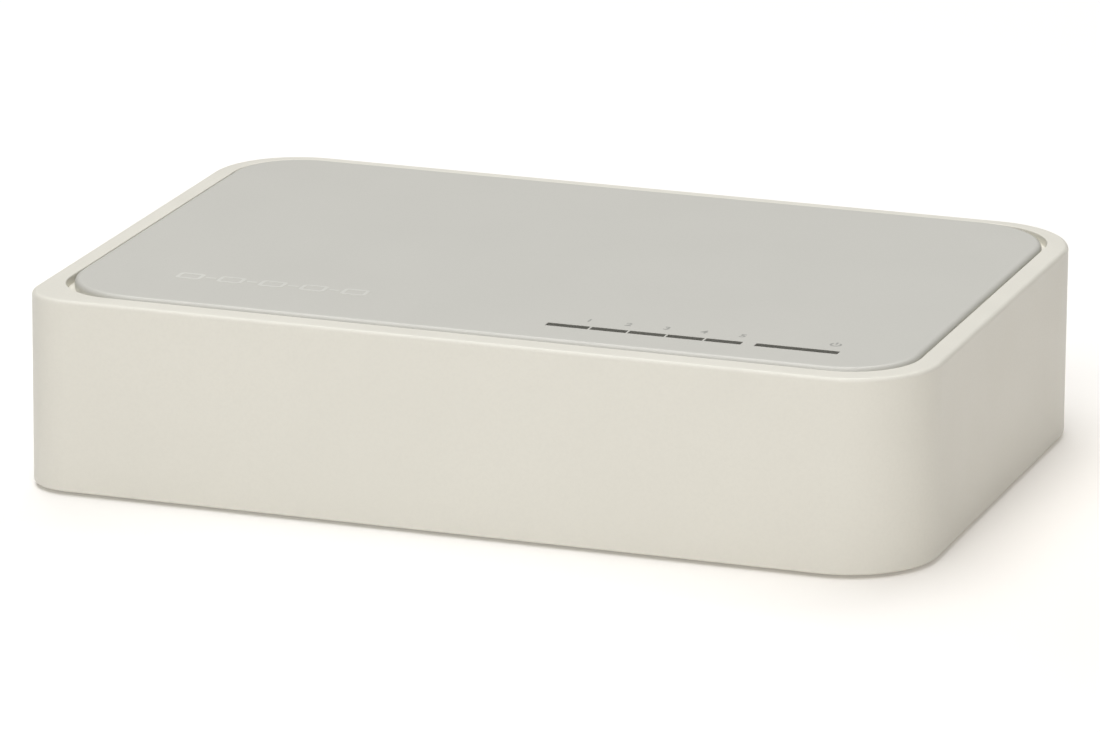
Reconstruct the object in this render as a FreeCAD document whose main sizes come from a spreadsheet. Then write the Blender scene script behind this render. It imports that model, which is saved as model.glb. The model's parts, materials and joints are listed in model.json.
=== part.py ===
import FreeCAD, Part
import Sketcher
import math
import os

# Desktop network switch with five 8P8C sockets.
# Frame: +X to the right when facing the status bars, -Y is the front (status bars),
# +Y is the rear (sockets and power inlet), +Z is up.  Origin: on the table plane, below the
# centre of the case.  All lengths in millimetres.

Vector = FreeCAD.Vector
DOC = FreeCAD.newDocument("desktop_network_switch")
SHEET = DOC.addObject("Spreadsheet::Sheet", "Dims")

TABLE = [
    # case
    ("case_width", 103.5, "case, left to right"),
    ("case_depth", 70.0, "case, front to rear"),
    ("case_height", 22.0, "case without feet and top plate"),
    ("foot_proud", 0.5, "height of the case above the table"),
    ("corner_radius", 10.5, "upright corners"),
    ("corner_radius_fl", 5.3, "front left upright corner"),
    ("wall", 2.0, "side wall"),
    ("roof", 2.4, "roof at the rim"),
    ("top_edge_radius", 0.55, "outer top edge"),
    ("rim_left", 2.25, "rim beside the top plate, left"),
    ("rim_right", 2.6, "rim beside the top plate, right"),
    ("rim_front", 2.95, "rim before the top plate"),
    ("rim_rear", 1.8, "rim behind the top plate"),
    ("recess_radius", 8.15, "corner of the recess for the top plate"),
    ("recess_radius_fl", 7.2, "front left corner of that recess"),
    ("recess_depth", 1.0, "recess below the rim"),
    ("panel_gap", 0.12, "gap between plate and rim, left and rear"),
    ("panel_gap_right", 0.3, "gap between plate and rim, right"),
    ("panel_gap_front", 0.42, "gap between plate and rim, front"),
    ("panel_thick", 1.2, "top plate"),
    ("panel_radius", 8.3, "front right and rear left corners of the top plate"),
    ("panel_radius_open", 9.4, "front left and rear right corners of the top plate"),
    ("panel_edge_radius", 0.65, "rounded top edge of the top plate"),
    # base
    ("base_thick", 1.8, "base plate"),
    ("base_gap", 0.2, "gap between base and walls"),
    ("rib_thick", 1.2, "upstanding rib of the base"),
    ("rib_top", 4.0, "top of that rib"),
    ("sill_top", 5.9, "top of the rear sill"),
    ("board_under", 4.6, "underside of the circuit board"),
    ("board_thick", 1.6, "circuit board"),
    # status bars
    ("bar_start", 7.06, "left end of the first status bar"),
    ("first_bar_length", 4.82, "length of the first link bar"),
    ("second_bar_start", 12.16, "left end of the second link bar"),
    ("bar_pitch", 4.38, "pitch of link bars two to five"),
    ("bar_length", 4.1, "length of link bars two to five"),
    ("bar_width", 1.1, "width of all bars"),
    ("bar_y", -25.75, "centre line of the bars"),
    ("power_bar_start", 31.0, "left end of the power bar"),
    ("power_bar_length", 9.4, "length of the power bar"),
    # sockets
    ("port_pitch", 13.97, "pitch of the sockets"),
    ("port_middle", -4.5, "middle of the third socket"),
    ("jack_width", 70.9, "five socket housing, width"),
    ("jack_front", 34.7, "mouth plane of the sockets"),
    ("jack_depth", 16.5, "housing, front to rear"),
    ("jack_height", 12.6, "housing above the board"),
    ("cavity_width", 12.0, "plug cavity"),
    ("cavity_height", 6.8, "plug cavity"),
    ("cavity_floor", 9.6, "floor of the plug cavity above the table"),
    ("wire_pitch", 1.02, "pitch of the eight contact wires"),
    ("wire_wide", 0.4, "contact wire, across"),
    ("wire_thick", 0.3, "contact wire, thickness"),
    ("wire_fall", 0.37, "fall of the sprung arm per unit length"),
    # power inlet
    ("inlet_middle", 37.2, "middle of the power inlet"),
    ("inlet_width", 7.0, "inlet body"),
    ("inlet_height", 7.2, "inlet body above the board"),
    ("inlet_axis", 9.9, "axis of the barrel above the table"),
    ("inlet_bore_radius", 1.95, "barrel"),
    ("inlet_pin_radius", 0.65, "centre pin"),
    # feet, screws, hanging slots
    ("foot_x", 42.5, "feet, half spacing"),
    ("foot_y", 25.5, "feet, half spacing"),
    ("foot_radius", 4.0, "foot"),
    ("foot_thick", 1.2, "foot"),
    ("case_screw_x", 46.2, "case screws, half spacing"),
    ("case_screw_y", 8.0, "case screws"),
    ("board_screw_x", 36.5, "board screws, half spacing"),
    ("board_screw_y", -17.5, "board screws"),
    ("keyhole_x", 30.0, "hanging slots, half spacing"),
    ("keyhole_y", 8.0, "entry of the hanging slots"),
    ("keyhole_radius", 3.5, "entry of the hanging slots"),
    ("keyhole_slot_radius", 1.8, "neck of the hanging slots"),
    ("keyhole_run", 6.0, "length of the neck"),
    ("vent_pitch", 3.6, "pitch of the base vents"),
    ("vent_radius", 0.8, "half width of a vent"),
]


class Dim:
    """A length together with the sheet expression that drives it."""

    def __init__(self, value, text):
        self.v = float(value)
        self.t = text

    def _join(self, other, sign, value, swap=False):
        a, b = (other, self) if swap else (self, other)
        return Dim(value(a.v, b.v), "(%s %s %s)" % (a.t, sign, b.t))

    def __add__(self, o):
        return self._join(dim(o), "+", lambda a, b: a + b)

    def __radd__(self, o):
        return self._join(dim(o), "+", lambda a, b: a + b, True)

    def __sub__(self, o):
        return self._join(dim(o), "-", lambda a, b: a - b)

    def __rsub__(self, o):
        return self._join(dim(o), "-", lambda a, b: a - b, True)

    def __mul__(self, o):
        return self._join(dim(o), "*", lambda a, b: a * b)

    def __rmul__(self, o):
        return self._join(dim(o), "*", lambda a, b: a * b, True)

    def __truediv__(self, o):
        return self._join(dim(o), "/", lambda a, b: a / b)

    def __neg__(self):
        return 0 - self


def dim(x):
    if isinstance(x, Dim):
        return x
    return Dim(x, "%.6f" % float(x) if x >= 0 else "(0 - %.6f)" % -float(x))


class Names:
    pass


D = Names()
for row, (alias, value, note) in enumerate(TABLE, 1):
    SHEET.set("A%d" % row, note)
    SHEET.set("B%d" % row, repr(value))
    SHEET.setAlias("B%d" % row, alias)
    setattr(D, alias, Dim(value, "Dims." + alias))
DOC.recompute()

# heights and half sizes used by several pieces
half_w = D.case_width / 2
half_d = D.case_depth / 2
z_low = D.foot_proud
z_top = D.foot_proud + D.case_height
z_roof = z_top - D.roof
z_recess = z_top - D.recess_depth
z_panel = z_recess + D.panel_thick
z_floor = D.foot_proud + D.base_thick
z_board = D.board_under + D.board_thick
in_w = half_w - D.wall
in_d = half_d - D.wall
in_r = D.corner_radius - D.wall
in_r_fl = D.corner_radius_fl - D.wall
jack_low = z_board
jack_high = z_board + D.jack_height
jack_rear = D.jack_front - D.jack_depth
jack_left = D.port_middle - D.jack_width / 2
jack_right = D.port_middle + D.jack_width / 2
cavity_roof = D.cavity_floor + D.cavity_height
PORT_X = [D.port_middle + (i - 2) * D.port_pitch for i in range(5)]
BAR_X = [D.bar_start + D.first_bar_length / 2]
BAR_X += [D.second_bar_start + D.bar_length / 2 + i * D.bar_pitch for i in range(4)]
POWER_X = D.power_bar_start + D.power_bar_length / 2

NODES = []


def bind(obj, path, d):
    d = dim(d)
    obj.setExpression(path, d.t)


def piece(name, x=None, y=None, z=None):
    """A sub-part: one body with its own label and placement."""
    b = DOC.addObject("PartDesign::Body", name)
    b.Label = name
    b.Placement = FreeCAD.Placement(
        Vector(*[0 if c is None else dim(c).v for c in (x, y, z)]), FreeCAD.Rotation()
    )
    for c, path in ((x, "x"), (y, "y"), (z, "z")):
        if c is not None:
            bind(b, "Placement.Base." + path, c)
    NODES.append(b)
    return b


def sketch(b, name, role="XY_Plane", offset=0):
    """A sketch on one of the body's own origin planes, shifted along the plane's normal.
    XY: normal +Z.  XZ: normal -Y.  YZ: normal +X."""
    s = b.newObject("Sketcher::SketchObject", name)
    base = [f for f in b.Origin.OriginFeatures if f.Role == role][0]
    s.AttachmentSupport = [(base, "")]
    s.MapMode = "FlatFace"
    off = dim(offset)
    s.AttachmentOffset = FreeCAD.Placement(Vector(0, 0, off.v), FreeCAD.Rotation())
    if isinstance(offset, Dim):
        bind(s, "AttachmentOffset.Base.z", off)
    return s


def tie(s, cons, binds):
    ids = s.addConstraint(cons)
    for k, d in binds:
        if "Dims." in d.t:
            s.setExpression("Constraints[%d]" % ids[k], d.t)


def polygon(s, pts):
    """Closed outline of straight lines, each corner tied to its two lengths."""
    pts = [(dim(x), dim(y)) for x, y in pts]
    n = len(pts)
    g = s.GeometryCount
    s.addGeometry(
        [
            Part.LineSegment(
                Vector(pts[i][0].v, pts[i][1].v, 0),
                Vector(pts[(i + 1) % n][0].v, pts[(i + 1) % n][1].v, 0),
            )
            for i in range(n)
        ]
    )
    cons, binds = [], []
    for i in range(n):
        cons.append(Sketcher.Constraint("Coincident", g + i, 2, g + (i + 1) % n, 1))
    for i, (x, y) in enumerate(pts):
        for kind, d in (("DistanceX", x), ("DistanceY", y)):
            binds.append((len(cons), d))
            cons.append(Sketcher.Constraint(kind, -1, 1, g + i, 1, d.v))
    tie(s, cons, binds)


def rect(s, x0, y0, x1, y1):
    x0, y0, x1, y1 = dim(x0), dim(y0), dim(x1), dim(y1)
    c = [(x0, y0), (x1, y0), (x1, y1), (x0, y1)]
    g = s.GeometryCount
    s.addGeometry(
        [
            Part.LineSegment(
                Vector(c[i][0].v, c[i][1].v, 0),
                Vector(c[(i + 1) % 4][0].v, c[(i + 1) % 4][1].v, 0),
            )
            for i in range(4)
        ]
    )
    cons = [Sketcher.Constraint("Coincident", g + i, 2, g + (i + 1) % 4, 1) for i in range(4)]
    cons += [
        Sketcher.Constraint("Horizontal", g),
        Sketcher.Constraint("Vertical", g + 1),
        Sketcher.Constraint("Horizontal", g + 2),
        Sketcher.Constraint("Vertical", g + 3),
        Sketcher.Constraint("DistanceX", -1, 1, g, 1, x0.v),
        Sketcher.Constraint("DistanceY", -1, 1, g, 1, y0.v),
        Sketcher.Constraint("DistanceX", -1, 1, g + 2, 1, x1.v),
        Sketcher.Constraint("DistanceY", -1, 1, g + 2, 1, y1.v),
    ]
    tie(s, cons, [(8, x0), (9, y0), (10, x1), (11, y1)])


def box_around(s, cx, cy, w, d):
    cx, cy, w, d = dim(cx), dim(cy), dim(w), dim(d)
    rect(s, cx - w / 2, cy - d / 2, cx + w / 2, cy + d / 2)


def round_rect(s, x0, y0, x1, y1, radii):
    """Rounded rectangle; radii for the corners (x0,y0), (x1,y0), (x1,y1), (x0,y1)."""
    x0, y0, x1, y1 = dim(x0), dim(y0), dim(x1), dim(y1)
    r = [dim(q) for q in radii]
    g = s.GeometryCount
    V = lambda a, b: Vector(a, b, 0)
    X0, Y0, X1, Y1 = x0.v, y0.v, x1.v, y1.v
    R = [q.v for q in r]
    up = Vector(0, 0, 1)

    def arc(cx, cy, q, a):
        return Part.ArcOfCircle(
            Part.Circle(V(cx, cy), up, q), math.radians(a), math.radians(a + 90)
        )

    s.addGeometry(
        [
            Part.LineSegment(V(X0 + R[0], Y0), V(X1 - R[1], Y0)),
            arc(X1 - R[1], Y0 + R[1], R[1], -90),
            Part.LineSegment(V(X1, Y0 + R[1]), V(X1, Y1 - R[2])),
            arc(X1 - R[2], Y1 - R[2], R[2], 0),
            Part.LineSegment(V(X1 - R[2], Y1), V(X0 + R[3], Y1)),
            arc(X0 + R[3], Y1 - R[3], R[3], 90),
            Part.LineSegment(V(X0, Y1 - R[3]), V(X0, Y0 + R[0])),
            arc(X0 + R[0], Y0 + R[0], R[0], 180),
        ]
    )
    cons = [
        Sketcher.Constraint("Tangent", g + i, 2, g + (i + 1) % 8, 1) for i in range(8)
    ]
    cons += [
        Sketcher.Constraint("Horizontal", g),
        Sketcher.Constraint("Vertical", g + 2),
        Sketcher.Constraint("Horizontal", g + 4),
        Sketcher.Constraint("Vertical", g + 6),
        Sketcher.Constraint("DistanceY", -1, 1, g, 1, y0.v),
        Sketcher.Constraint("DistanceX", -1, 1, g + 2, 1, x1.v),
        Sketcher.Constraint("DistanceY", -1, 1, g + 4, 1, y1.v),
        Sketcher.Constraint("DistanceX", -1, 1, g + 6, 1, x0.v),
        Sketcher.Constraint("Radius", g + 7, R[0]),
        Sketcher.Constraint("Radius", g + 1, R[1]),
        Sketcher.Constraint("Radius", g + 3, R[2]),
        Sketcher.Constraint("Radius", g + 5, R[3]),
    ]
    tie(
        s,
        cons,
        [(12, y0), (13, x1), (14, y1), (15, x0)] + [(16 + k, r[k]) for k in range(4)],
    )


def circle(s, cx, cy, r):
    cx, cy, r = dim(cx), dim(cy), dim(r)
    g = s.GeometryCount
    s.addGeometry([Part.Circle(Vector(cx.v, cy.v, 0), Vector(0, 0, 1), r.v)])
    cons = [
        Sketcher.Constraint("DistanceX", -1, 1, g, 3, cx.v),
        Sketcher.Constraint("DistanceY", -1, 1, g, 3, cy.v),
        Sketcher.Constraint("Radius", g, r.v),
    ]
    tie(s, cons, [(0, cx), (1, cy), (2, r)])


def slot_y(s, cx, y0, y1, r):
    """Round-ended slot along Y, from centre y0 to centre y1."""
    cx, y0, y1, r = dim(cx), dim(y0), dim(y1), dim(r)
    g = s.GeometryCount
    up = Vector(0, 0, 1)
    s.addGeometry(
        [
            Part.LineSegment(Vector(cx.v + r.v, y0.v, 0), Vector(cx.v + r.v, y1.v, 0)),
            Part.ArcOfCircle(Part.Circle(Vector(cx.v, y1.v, 0), up, r.v), 0, math.pi),
            Part.LineSegment(Vector(cx.v - r.v, y1.v, 0), Vector(cx.v - r.v, y0.v, 0)),
            Part.ArcOfCircle(
                Part.Circle(Vector(cx.v, y0.v, 0), up, r.v), math.pi, 2 * math.pi
            ),
        ]
    )
    cons = [
        Sketcher.Constraint("Tangent", g + i, 2, g + (i + 1) % 4, 1) for i in range(4)
    ]
    cons += [
        Sketcher.Constraint("DistanceX", -1, 1, g + 1, 3, cx.v),
        Sketcher.Constraint("DistanceY", -1, 1, g + 1, 3, y1.v),
        Sketcher.Constraint("DistanceX", -1, 1, g + 3, 3, cx.v),
        Sketcher.Constraint("DistanceY", -1, 1, g + 3, 3, y0.v),
        Sketcher.Constraint("Radius", g + 1, r.v),
    ]
    tie(s, cons, [(4, cx), (5, y1), (6, cx), (7, y0), (8, r)])


def pad(b, name, s, length, against=False, middle=False):
    f = b.newObject("PartDesign::Pad", name)
    f.Profile = s
    f.Type = "Length"
    f.Length = dim(length).v
    if isinstance(length, Dim):
        bind(f, "Length", length)
    f.Reversed = against
    if middle:
        f.Midplane = True
    s.Visibility = False
    return f


def pocket(b, name, s, length=None, along=False, middle=False):
    """Cuts against the sketch normal, or along it."""
    f = b.newObject("PartDesign::Pocket", name)
    f.Profile = s
    if length is None:
        f.Type = "ThroughAll"
    else:
        f.Type = "Length"
        f.Length = dim(length).v
        if isinstance(length, Dim):
            bind(f, "Length", length)
    f.Reversed = along
    if middle:
        f.Midplane = True
    s.Visibility = False
    return f


def row(b, name, feature, s, axis, length, count, transform=True):
    """Linear pattern of one feature along an axis of its sketch."""
    f = b.newObject("PartDesign::LinearPattern", name)
    f.Originals = [feature]
    f.Direction = (s, [axis])
    f.Mode = "Extent"
    f.Length = dim(length).v
    if isinstance(length, Dim):
        bind(f, "Length", length)
    f.Occurrences = count
    b.Tip = f
    return f


def edges_of(feature, test):
    """Names of the edges of a feature that pass a test on their middle and ends."""
    DOC.recompute()
    names = []
    for i, e in enumerate(feature.Shape.Edges, 1):
        p, q = e.firstVertex().Point, e.lastVertex().Point
        mid = e.valueAt((e.FirstParameter + e.LastParameter) / 2)
        if test(mid, p, q, e):
            names.append("Edge%d" % i)
    return names


def fillet(b, name, feature, radius, test):
    names = edges_of(feature, test)
    if not names:
        raise RuntimeError("no edge for " + name)
    f = b.newObject("PartDesign::Fillet", name)
    f.Base = (feature, names)
    f.Radius = dim(radius).v
    if isinstance(radius, Dim):
        bind(f, "Radius", radius)
    DOC.recompute()
    return f


def chamfer(b, name, feature, size, test):
    names = edges_of(feature, test)
    if not names:
        raise RuntimeError("no edge for " + name)
    f = b.newObject("PartDesign::Chamfer", name)
    f.Base = (feature, names)
    f.Size = dim(size).v
    if isinstance(size, Dim):
        bind(f, "Size", size)
    DOC.recompute()
    return f


def near(a, b, tol=1e-3):
    return abs(a - (b.v if isinstance(b, Dim) else b)) < tol


def at_height(z):
    return lambda m, p, q, e: near(m.z, z) and near(p.z, z) and near(q.z, z)


def upright(m, p, q, e):
    return near(p.x, q.x) and near(p.y, q.y) and abs(p.z - q.z) > 1e-3


# ----------------------------------------------------------------------------- upper shell
b = piece("upper_shell")
s = sketch(b, "ShellOutline", offset=z_low)
round_rect(
    s, -half_w, -half_d, half_w, half_d,
    (D.corner_radius_fl, D.corner_radius, D.corner_radius, D.corner_radius),
)
f = pad(b, "ShellBlock", s, D.case_height)
f = fillet(b, "ShellTopEdge", f, D.top_edge_radius, at_height(z_top))
s = sketch(b, "ShellInside", offset=z_low)
round_rect(s, -in_w, -in_d, in_w, in_d, (in_r_fl, in_r, in_r, in_r))
pocket(b, "ShellHollow", s, z_roof - z_low, along=True)
s = sketch(b, "RecessOutline", offset=z_top)
r_x0, r_x1 = D.rim_left - half_w, half_w - D.rim_right
r_y0, r_y1 = D.rim_front - half_d, half_d - D.rim_rear
round_rect(
    s, r_x0, r_y0, r_x1, r_y1,
    (D.recess_radius_fl, D.recess_radius, D.recess_radius, D.recess_radius),
)
f = pocket(b, "PlateRecess", s, D.recess_depth)
f = fillet(
    b, "RimInnerEdge", f, 0.15,
    lambda m, p, q, e: near(m.z, z_top) and near(p.z, z_top) and near(q.z, z_top)
    and r_x0.v - 0.05 < m.x < r_x1.v + 0.05 and r_y0.v - 0.05 < m.y < r_y1.v + 0.05,
)
f = fillet(
    b, "ShellFootEdge", f, 0.25,
    lambda m, p, q, e: near(m.z, z_low) and near(p.z, z_low) and near(q.z, z_low)
    and (abs(m.x) > in_w.v + 0.5 or abs(m.y) > in_d.v + 0.5
         or (m.x ** 2 / (in_w.v + 0.5) ** 2 + m.y ** 2 / (in_d.v + 0.5) ** 2 > 1.0
             and (abs(m.x) - 41.25) ** 2 + (abs(m.y) - 24.5) ** 2 > 90)),
)
# rear windows, open towards the base so that the shell drops over the sockets
s = sketch(b, "RearWindows", "XZ_Plane", offset=-(half_d + 1))
polygon(
    s,
    [
        (jack_left - 0.3, z_low - 1),
        (41.0, z_low - 1),
        (41.0, jack_low + 7.5),
        (33.4, jack_low + 7.5),
        (33.4, D.sill_top + 0.1),
        (jack_right + 0.3, D.sill_top + 0.1),
        (jack_right + 0.3, jack_high + 0.3),
        (jack_left - 0.3, jack_high + 0.3),
    ],
)
f = pocket(b, "RearOpening", s, 4.0, along=True)
# slots for the status bars
s = sketch(b, "BarSlots", offset=z_recess)
y0, y1 = D.bar_y - D.bar_width / 2 - 0.25, D.bar_y + D.bar_width / 2 + 0.25
rect(s, D.bar_start - 0.25, y0, D.second_bar_start + 3 * D.bar_pitch + D.bar_length + 0.25, y1)
rect(s, D.power_bar_start - 0.25, y0, D.power_bar_start + D.power_bar_length + 0.25, y1)
pocket(b, "BarSlotCut", s)
# screw bosses and their webs to the side walls
boss_low = 4.35
s = sketch(b, "ScrewBosses", offset=z_roof)
circle(s, -D.case_screw_x, D.case_screw_y, 2.8)
circle(s, D.case_screw_x, D.case_screw_y, 2.8)
pad(b, "ScrewBossPads", s, z_roof - boss_low, against=True)
for side, sign in (("Left", -1), ("Right", 1)):
    s = sketch(b, "BossWeb" + side, offset=z_roof)
    xa, xb = sign * 48.6, sign * (half_w - 1.5)
    if sign < 0:
        xa, xb = xb, xa
    rect(s, xa, D.case_screw_y - 0.6, xb, D.case_screw_y + 0.6)
    pad(b, "BossWebPad" + side, s, z_roof - boss_low, against=True)
s = sketch(b, "ScrewPilots", offset=boss_low)
circle(s, -D.case_screw_x, D.case_screw_y, 1.3)
circle(s, D.case_screw_x, D.case_screw_y, 1.3)
pocket(b, "ScrewPilotCut", s, 9.6, along=True)
# pressing rib over the socket housing
s = sketch(b, "SocketRib", offset=z_roof)
rect(s, jack_left + 2, 26.0, jack_right - 2, 27.2)
pad(b, "SocketRibPad", s, z_roof - jack_high - 0.2, against=True)
# heat stakes that hold the light guide
s = sketch(b, "Stakes", offset=z_roof)
circle(s, 4.2, D.bar_y, 0.85)
circle(s, 43.2, D.bar_y + 1.5, 0.85)
pad(b, "StakePins", s, 2.1, against=True)
s = sketch(b, "StakeHeads", offset=z_roof - 1.6)
circle(s, 4.2, D.bar_y, 1.5)
circle(s, 43.2, D.bar_y + 1.5, 1.5)
pad(b, "StakeHeadPads", s, 0.6, against=True)
# catches for the front hooks of the base
s = sketch(b, "HookCatches", offset=5.9)
rect(s, -26.0, -(in_d + 0.9), -18.0, -(in_d - 0.1))
rect(s, 18.0, -(in_d + 0.9), 26.0, -(in_d - 0.1))
pocket(b, "HookCatchCut", s, 2.4, along=True)

# ------------------------------------------------------------------------------- top plate
b = piece("top_panel")
s = sketch(b, "PlateOutline", offset=z_recess)
p_x0, p_x1 = r_x0 + D.panel_gap, r_x1 - D.panel_gap_right
p_y0, p_y1 = r_y0 + D.panel_gap_front, r_y1 - D.panel_gap
pr, pro = D.panel_radius, D.panel_radius_open
round_rect(s, p_x0, p_y0, p_x1, p_y1, (pro, pr, pro, pr))
f = pad(b, "Plate", s, D.panel_thick)
fillet(b, "PlateTopEdge", f, D.panel_edge_radius, at_height(z_panel))
s = sketch(b, "FirstBarSlot", offset=z_panel)
c = 0.03
rect(
    s, D.bar_start - c, D.bar_y - D.bar_width / 2 - c,
    D.bar_start + D.first_bar_length + c, D.bar_y + D.bar_width / 2 + c,
)
pocket(b, "FirstBarSlotCut", s)
s = sketch(b, "SecondBarSlot", offset=z_panel)
rect(
    s, D.second_bar_start - c, D.bar_y - D.bar_width / 2 - c,
    D.second_bar_start + D.bar_length + c, D.bar_y + D.bar_width / 2 + c,
)
f = pocket(b, "SecondBarSlotCut", s)
row(b, "BarSlotRow", f, s, "H_Axis", D.bar_pitch * 3, 4)
s = sketch(b, "PowerBarSlot", offset=z_panel)
rect(
    s, D.power_bar_start - c, D.bar_y - D.bar_width / 2 - c,
    D.power_bar_start + D.power_bar_length + c, D.bar_y + D.bar_width / 2 + c,
)
pocket(b, "PowerBarSlotCut", s)

# ------------------------------------------------------------------------------ light guide
b = piece("light_guide")
guide_low, guide_high = z_roof - 1.6, z_roof - 0.2
s = sketch(b, "GuideWeb", offset=guide_low)
polygon(
    s,
    [
        (2.3, D.bar_y - 1.9), (41.6, D.bar_y - 1.9), (41.6, D.bar_y - 0.4),
        (45.1, D.bar_y - 0.4), (45.1, D.bar_y + 3.4), (40.6, D.bar_y + 3.4),
        (40.6, D.bar_y + 1.9), (2.3, D.bar_y + 1.9),
    ],
)
pad(b, "GuideWebPad", s, guide_high - guide_low)
s = sketch(b, "GuideHoles", offset=guide_high)
circle(s, 4.2, D.bar_y, 0.95)
circle(s, 43.2, D.bar_y + 1.5, 0.95)
pocket(b, "GuideHoleCut", s)
s = sketch(b, "FirstBar", offset=guide_high)
rect(
    s, D.bar_start, D.bar_y - D.bar_width / 2,
    D.bar_start + D.first_bar_length, D.bar_y + D.bar_width / 2,
)
pad(b, "FirstBarPad", s, z_panel - 0.02 - guide_high)
s = sketch(b, "SecondBar", offset=guide_high)
rect(
    s, D.second_bar_start, D.bar_y - D.bar_width / 2,
    D.second_bar_start + D.bar_length, D.bar_y + D.bar_width / 2,
)
f = pad(b, "SecondBarPad", s, z_panel - 0.02 - guide_high)
row(b, "BarRow", f, s, "H_Axis", D.bar_pitch * 3, 4)
s = sketch(b, "PowerBar", offset=guide_high)
rect(
    s, D.power_bar_start, D.bar_y - D.bar_width / 2,
    D.power_bar_start + D.power_bar_length, D.bar_y + D.bar_width / 2,
)
pad(b, "PowerBarPad", s, z_panel - 0.02 - guide_high)
s = sketch(b, "FirstLeg", offset=guide_low)
box_around(s, BAR_X[0], D.bar_y, 1.8, 1.8)
pad(b, "FirstLegPad", s, guide_low - z_board - 1.2, against=True)
s = sketch(b, "SecondLeg", offset=guide_low)
box_around(s, BAR_X[1], D.bar_y, 1.8, 1.8)
f = pad(b, "SecondLegPad", s, guide_low - z_board - 1.2, against=True)
row(b, "LegRow", f, s, "H_Axis", D.bar_pitch * 3, 4)
s = sketch(b, "PowerLeg", offset=guide_low)
box_around(s, POWER_X, D.bar_y, 2.6, 1.8)
pad(b, "PowerLegPad", s, guide_low - z_board - 1.2, against=True)

# -------------------------------------------------------------------------------------- base
b = piece("lower_shell")
s = sketch(b, "BaseOutline", offset=z_low)
bx, by = in_w - D.base_gap, in_d - D.base_gap
br, brf = in_r - D.base_gap, in_r_fl - D.base_gap
round_rect(s, -bx, -by, bx, by, (brf, br, br, br))
pad(b, "BasePlate", s, D.base_thick)
s = sketch(b, "SillOutline", offset=z_low)
rect(s, jack_left - 0.15, in_d - 0.6, 40.85, half_d)
f = pad(b, "Sill", s, D.sill_top - z_low)
# stiffening rib round the edge, under the walls' inner faces
s = sketch(b, "RibOutline", offset=z_floor)
round_rect(s, -bx, -by, bx, by, (brf, br, br, br))
q = D.rib_thick
round_rect(
    s, -(bx - q), -(by - q), bx - q, by - q, (brf - q, br - q, br - q, br - q)
)
pad(b, "EdgeRib", s, D.rib_top - z_floor)
# posts under the board: two for screws, two with locating pegs
s = sketch(b, "BoardPosts", offset=z_floor)
circle(s, -D.board_screw_x, D.board_screw_y, 2.5)
circle(s, D.board_screw_x, D.board_screw_y, 2.5)
circle(s, -40.4, 12.0, 2.2)
circle(s, 39.9, 13.0, 2.2)
pad(b, "BoardPostPads", s, D.board_under - z_floor)
s = sketch(b, "BoardPegs", offset=D.board_under)
circle(s, -40.4, 12.0, 0.9)
circle(s, 39.9, 13.0, 0.9)
f = pad(b, "BoardPegPads", s, D.board_thick + 0.8)
# seats of the case screws
s = sketch(b, "ScrewSeats", offset=z_floor)
circle(s, -(D.case_screw_x), D.case_screw_y, 3.2)
circle(s, D.case_screw_x, D.case_screw_y, 3.2)
pad(b, "ScrewSeatPads", s, 4.2 - z_floor)
# front hooks
for side, x in (("Left", -22.0), ("Right", 22.0)):
    s = sketch(b, "Hook" + side, "YZ_Plane", offset=x)
    polygon(
        s,
        [
            (-(by - q), z_floor), (-(by - q), 8.2), (-by, 8.2),
            (-(by + 0.7), 6.9), (-(by + 0.7), 6.4), (-by, 6.2), (-by, z_floor),
        ],
    )
    pad(b, "HookPad" + side, s, 7.0, middle=True)
# holes
s = sketch(b, "BoardPilots", offset=D.board_under)
circle(s, -D.board_screw_x, D.board_screw_y, 1.0)
circle(s, D.board_screw_x, D.board_screw_y, 1.0)
pocket(b, "BoardPilotCut", s, 3.3)
s = sketch(b, "ScrewHoles", offset=4.2)
circle(s, -D.case_screw_x, D.case_screw_y, 1.45)
circle(s, D.case_screw_x, D.case_screw_y, 1.45)
pocket(b, "ScrewHoleCut", s)
s = sketch(b, "ScrewSinks", offset=z_low)
circle(s, -D.case_screw_x, D.case_screw_y, 2.55)
circle(s, D.case_screw_x, D.case_screw_y, 2.55)
pocket(b, "ScrewSinkCut", s, 2.1, along=True)
s = sketch(b, "FootSeats", offset=z_low)
for sx in (-1, 1):
    for sy in (-1, 1):
        circle(s, sx * D.foot_x, sy * D.foot_y, D.foot_radius + 0.25)
pocket(b, "FootSeatCut", s, D.foot_thick - D.foot_proud, along=True)
s = sketch(b, "LabelSeat", offset=z_low)
round_rect(s, -23.2, -0.2, 23.2, 22.2, (1.2, 1.2, 1.2, 1.2))
pocket(b, "LabelSeatCut", s, 0.15, along=True)
s = sketch(b, "Keyholes", offset=z_low)
circle(s, -D.keyhole_x, D.keyhole_y, D.keyhole_radius)
circle(s, D.keyhole_x, D.keyhole_y, D.keyhole_radius)
pocket(b, "KeyholeCut", s, D.base_thick, along=True)
s = sketch(b, "KeyholeNecks", offset=z_low)
slot_y(s, -D.keyhole_x, D.keyhole_y - D.keyhole_run, D.keyhole_y, D.keyhole_slot_radius)
slot_y(s, D.keyhole_x, D.keyhole_y - D.keyhole_run, D.keyhole_y, D.keyhole_slot_radius)
pocket(b, "KeyholeNeckCut", s, D.base_thick, along=True)
s = sketch(b, "FirstVent", offset=z_low)
slot_y(s, -(5.5 * D.vent_pitch), -21.5, -8.5, D.vent_radius)
f = pocket(b, "FirstVentCut", s, D.base_thick, along=True)
row(b, "VentRow", f, s, "H_Axis", D.vent_pitch * 11, 12)

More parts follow.
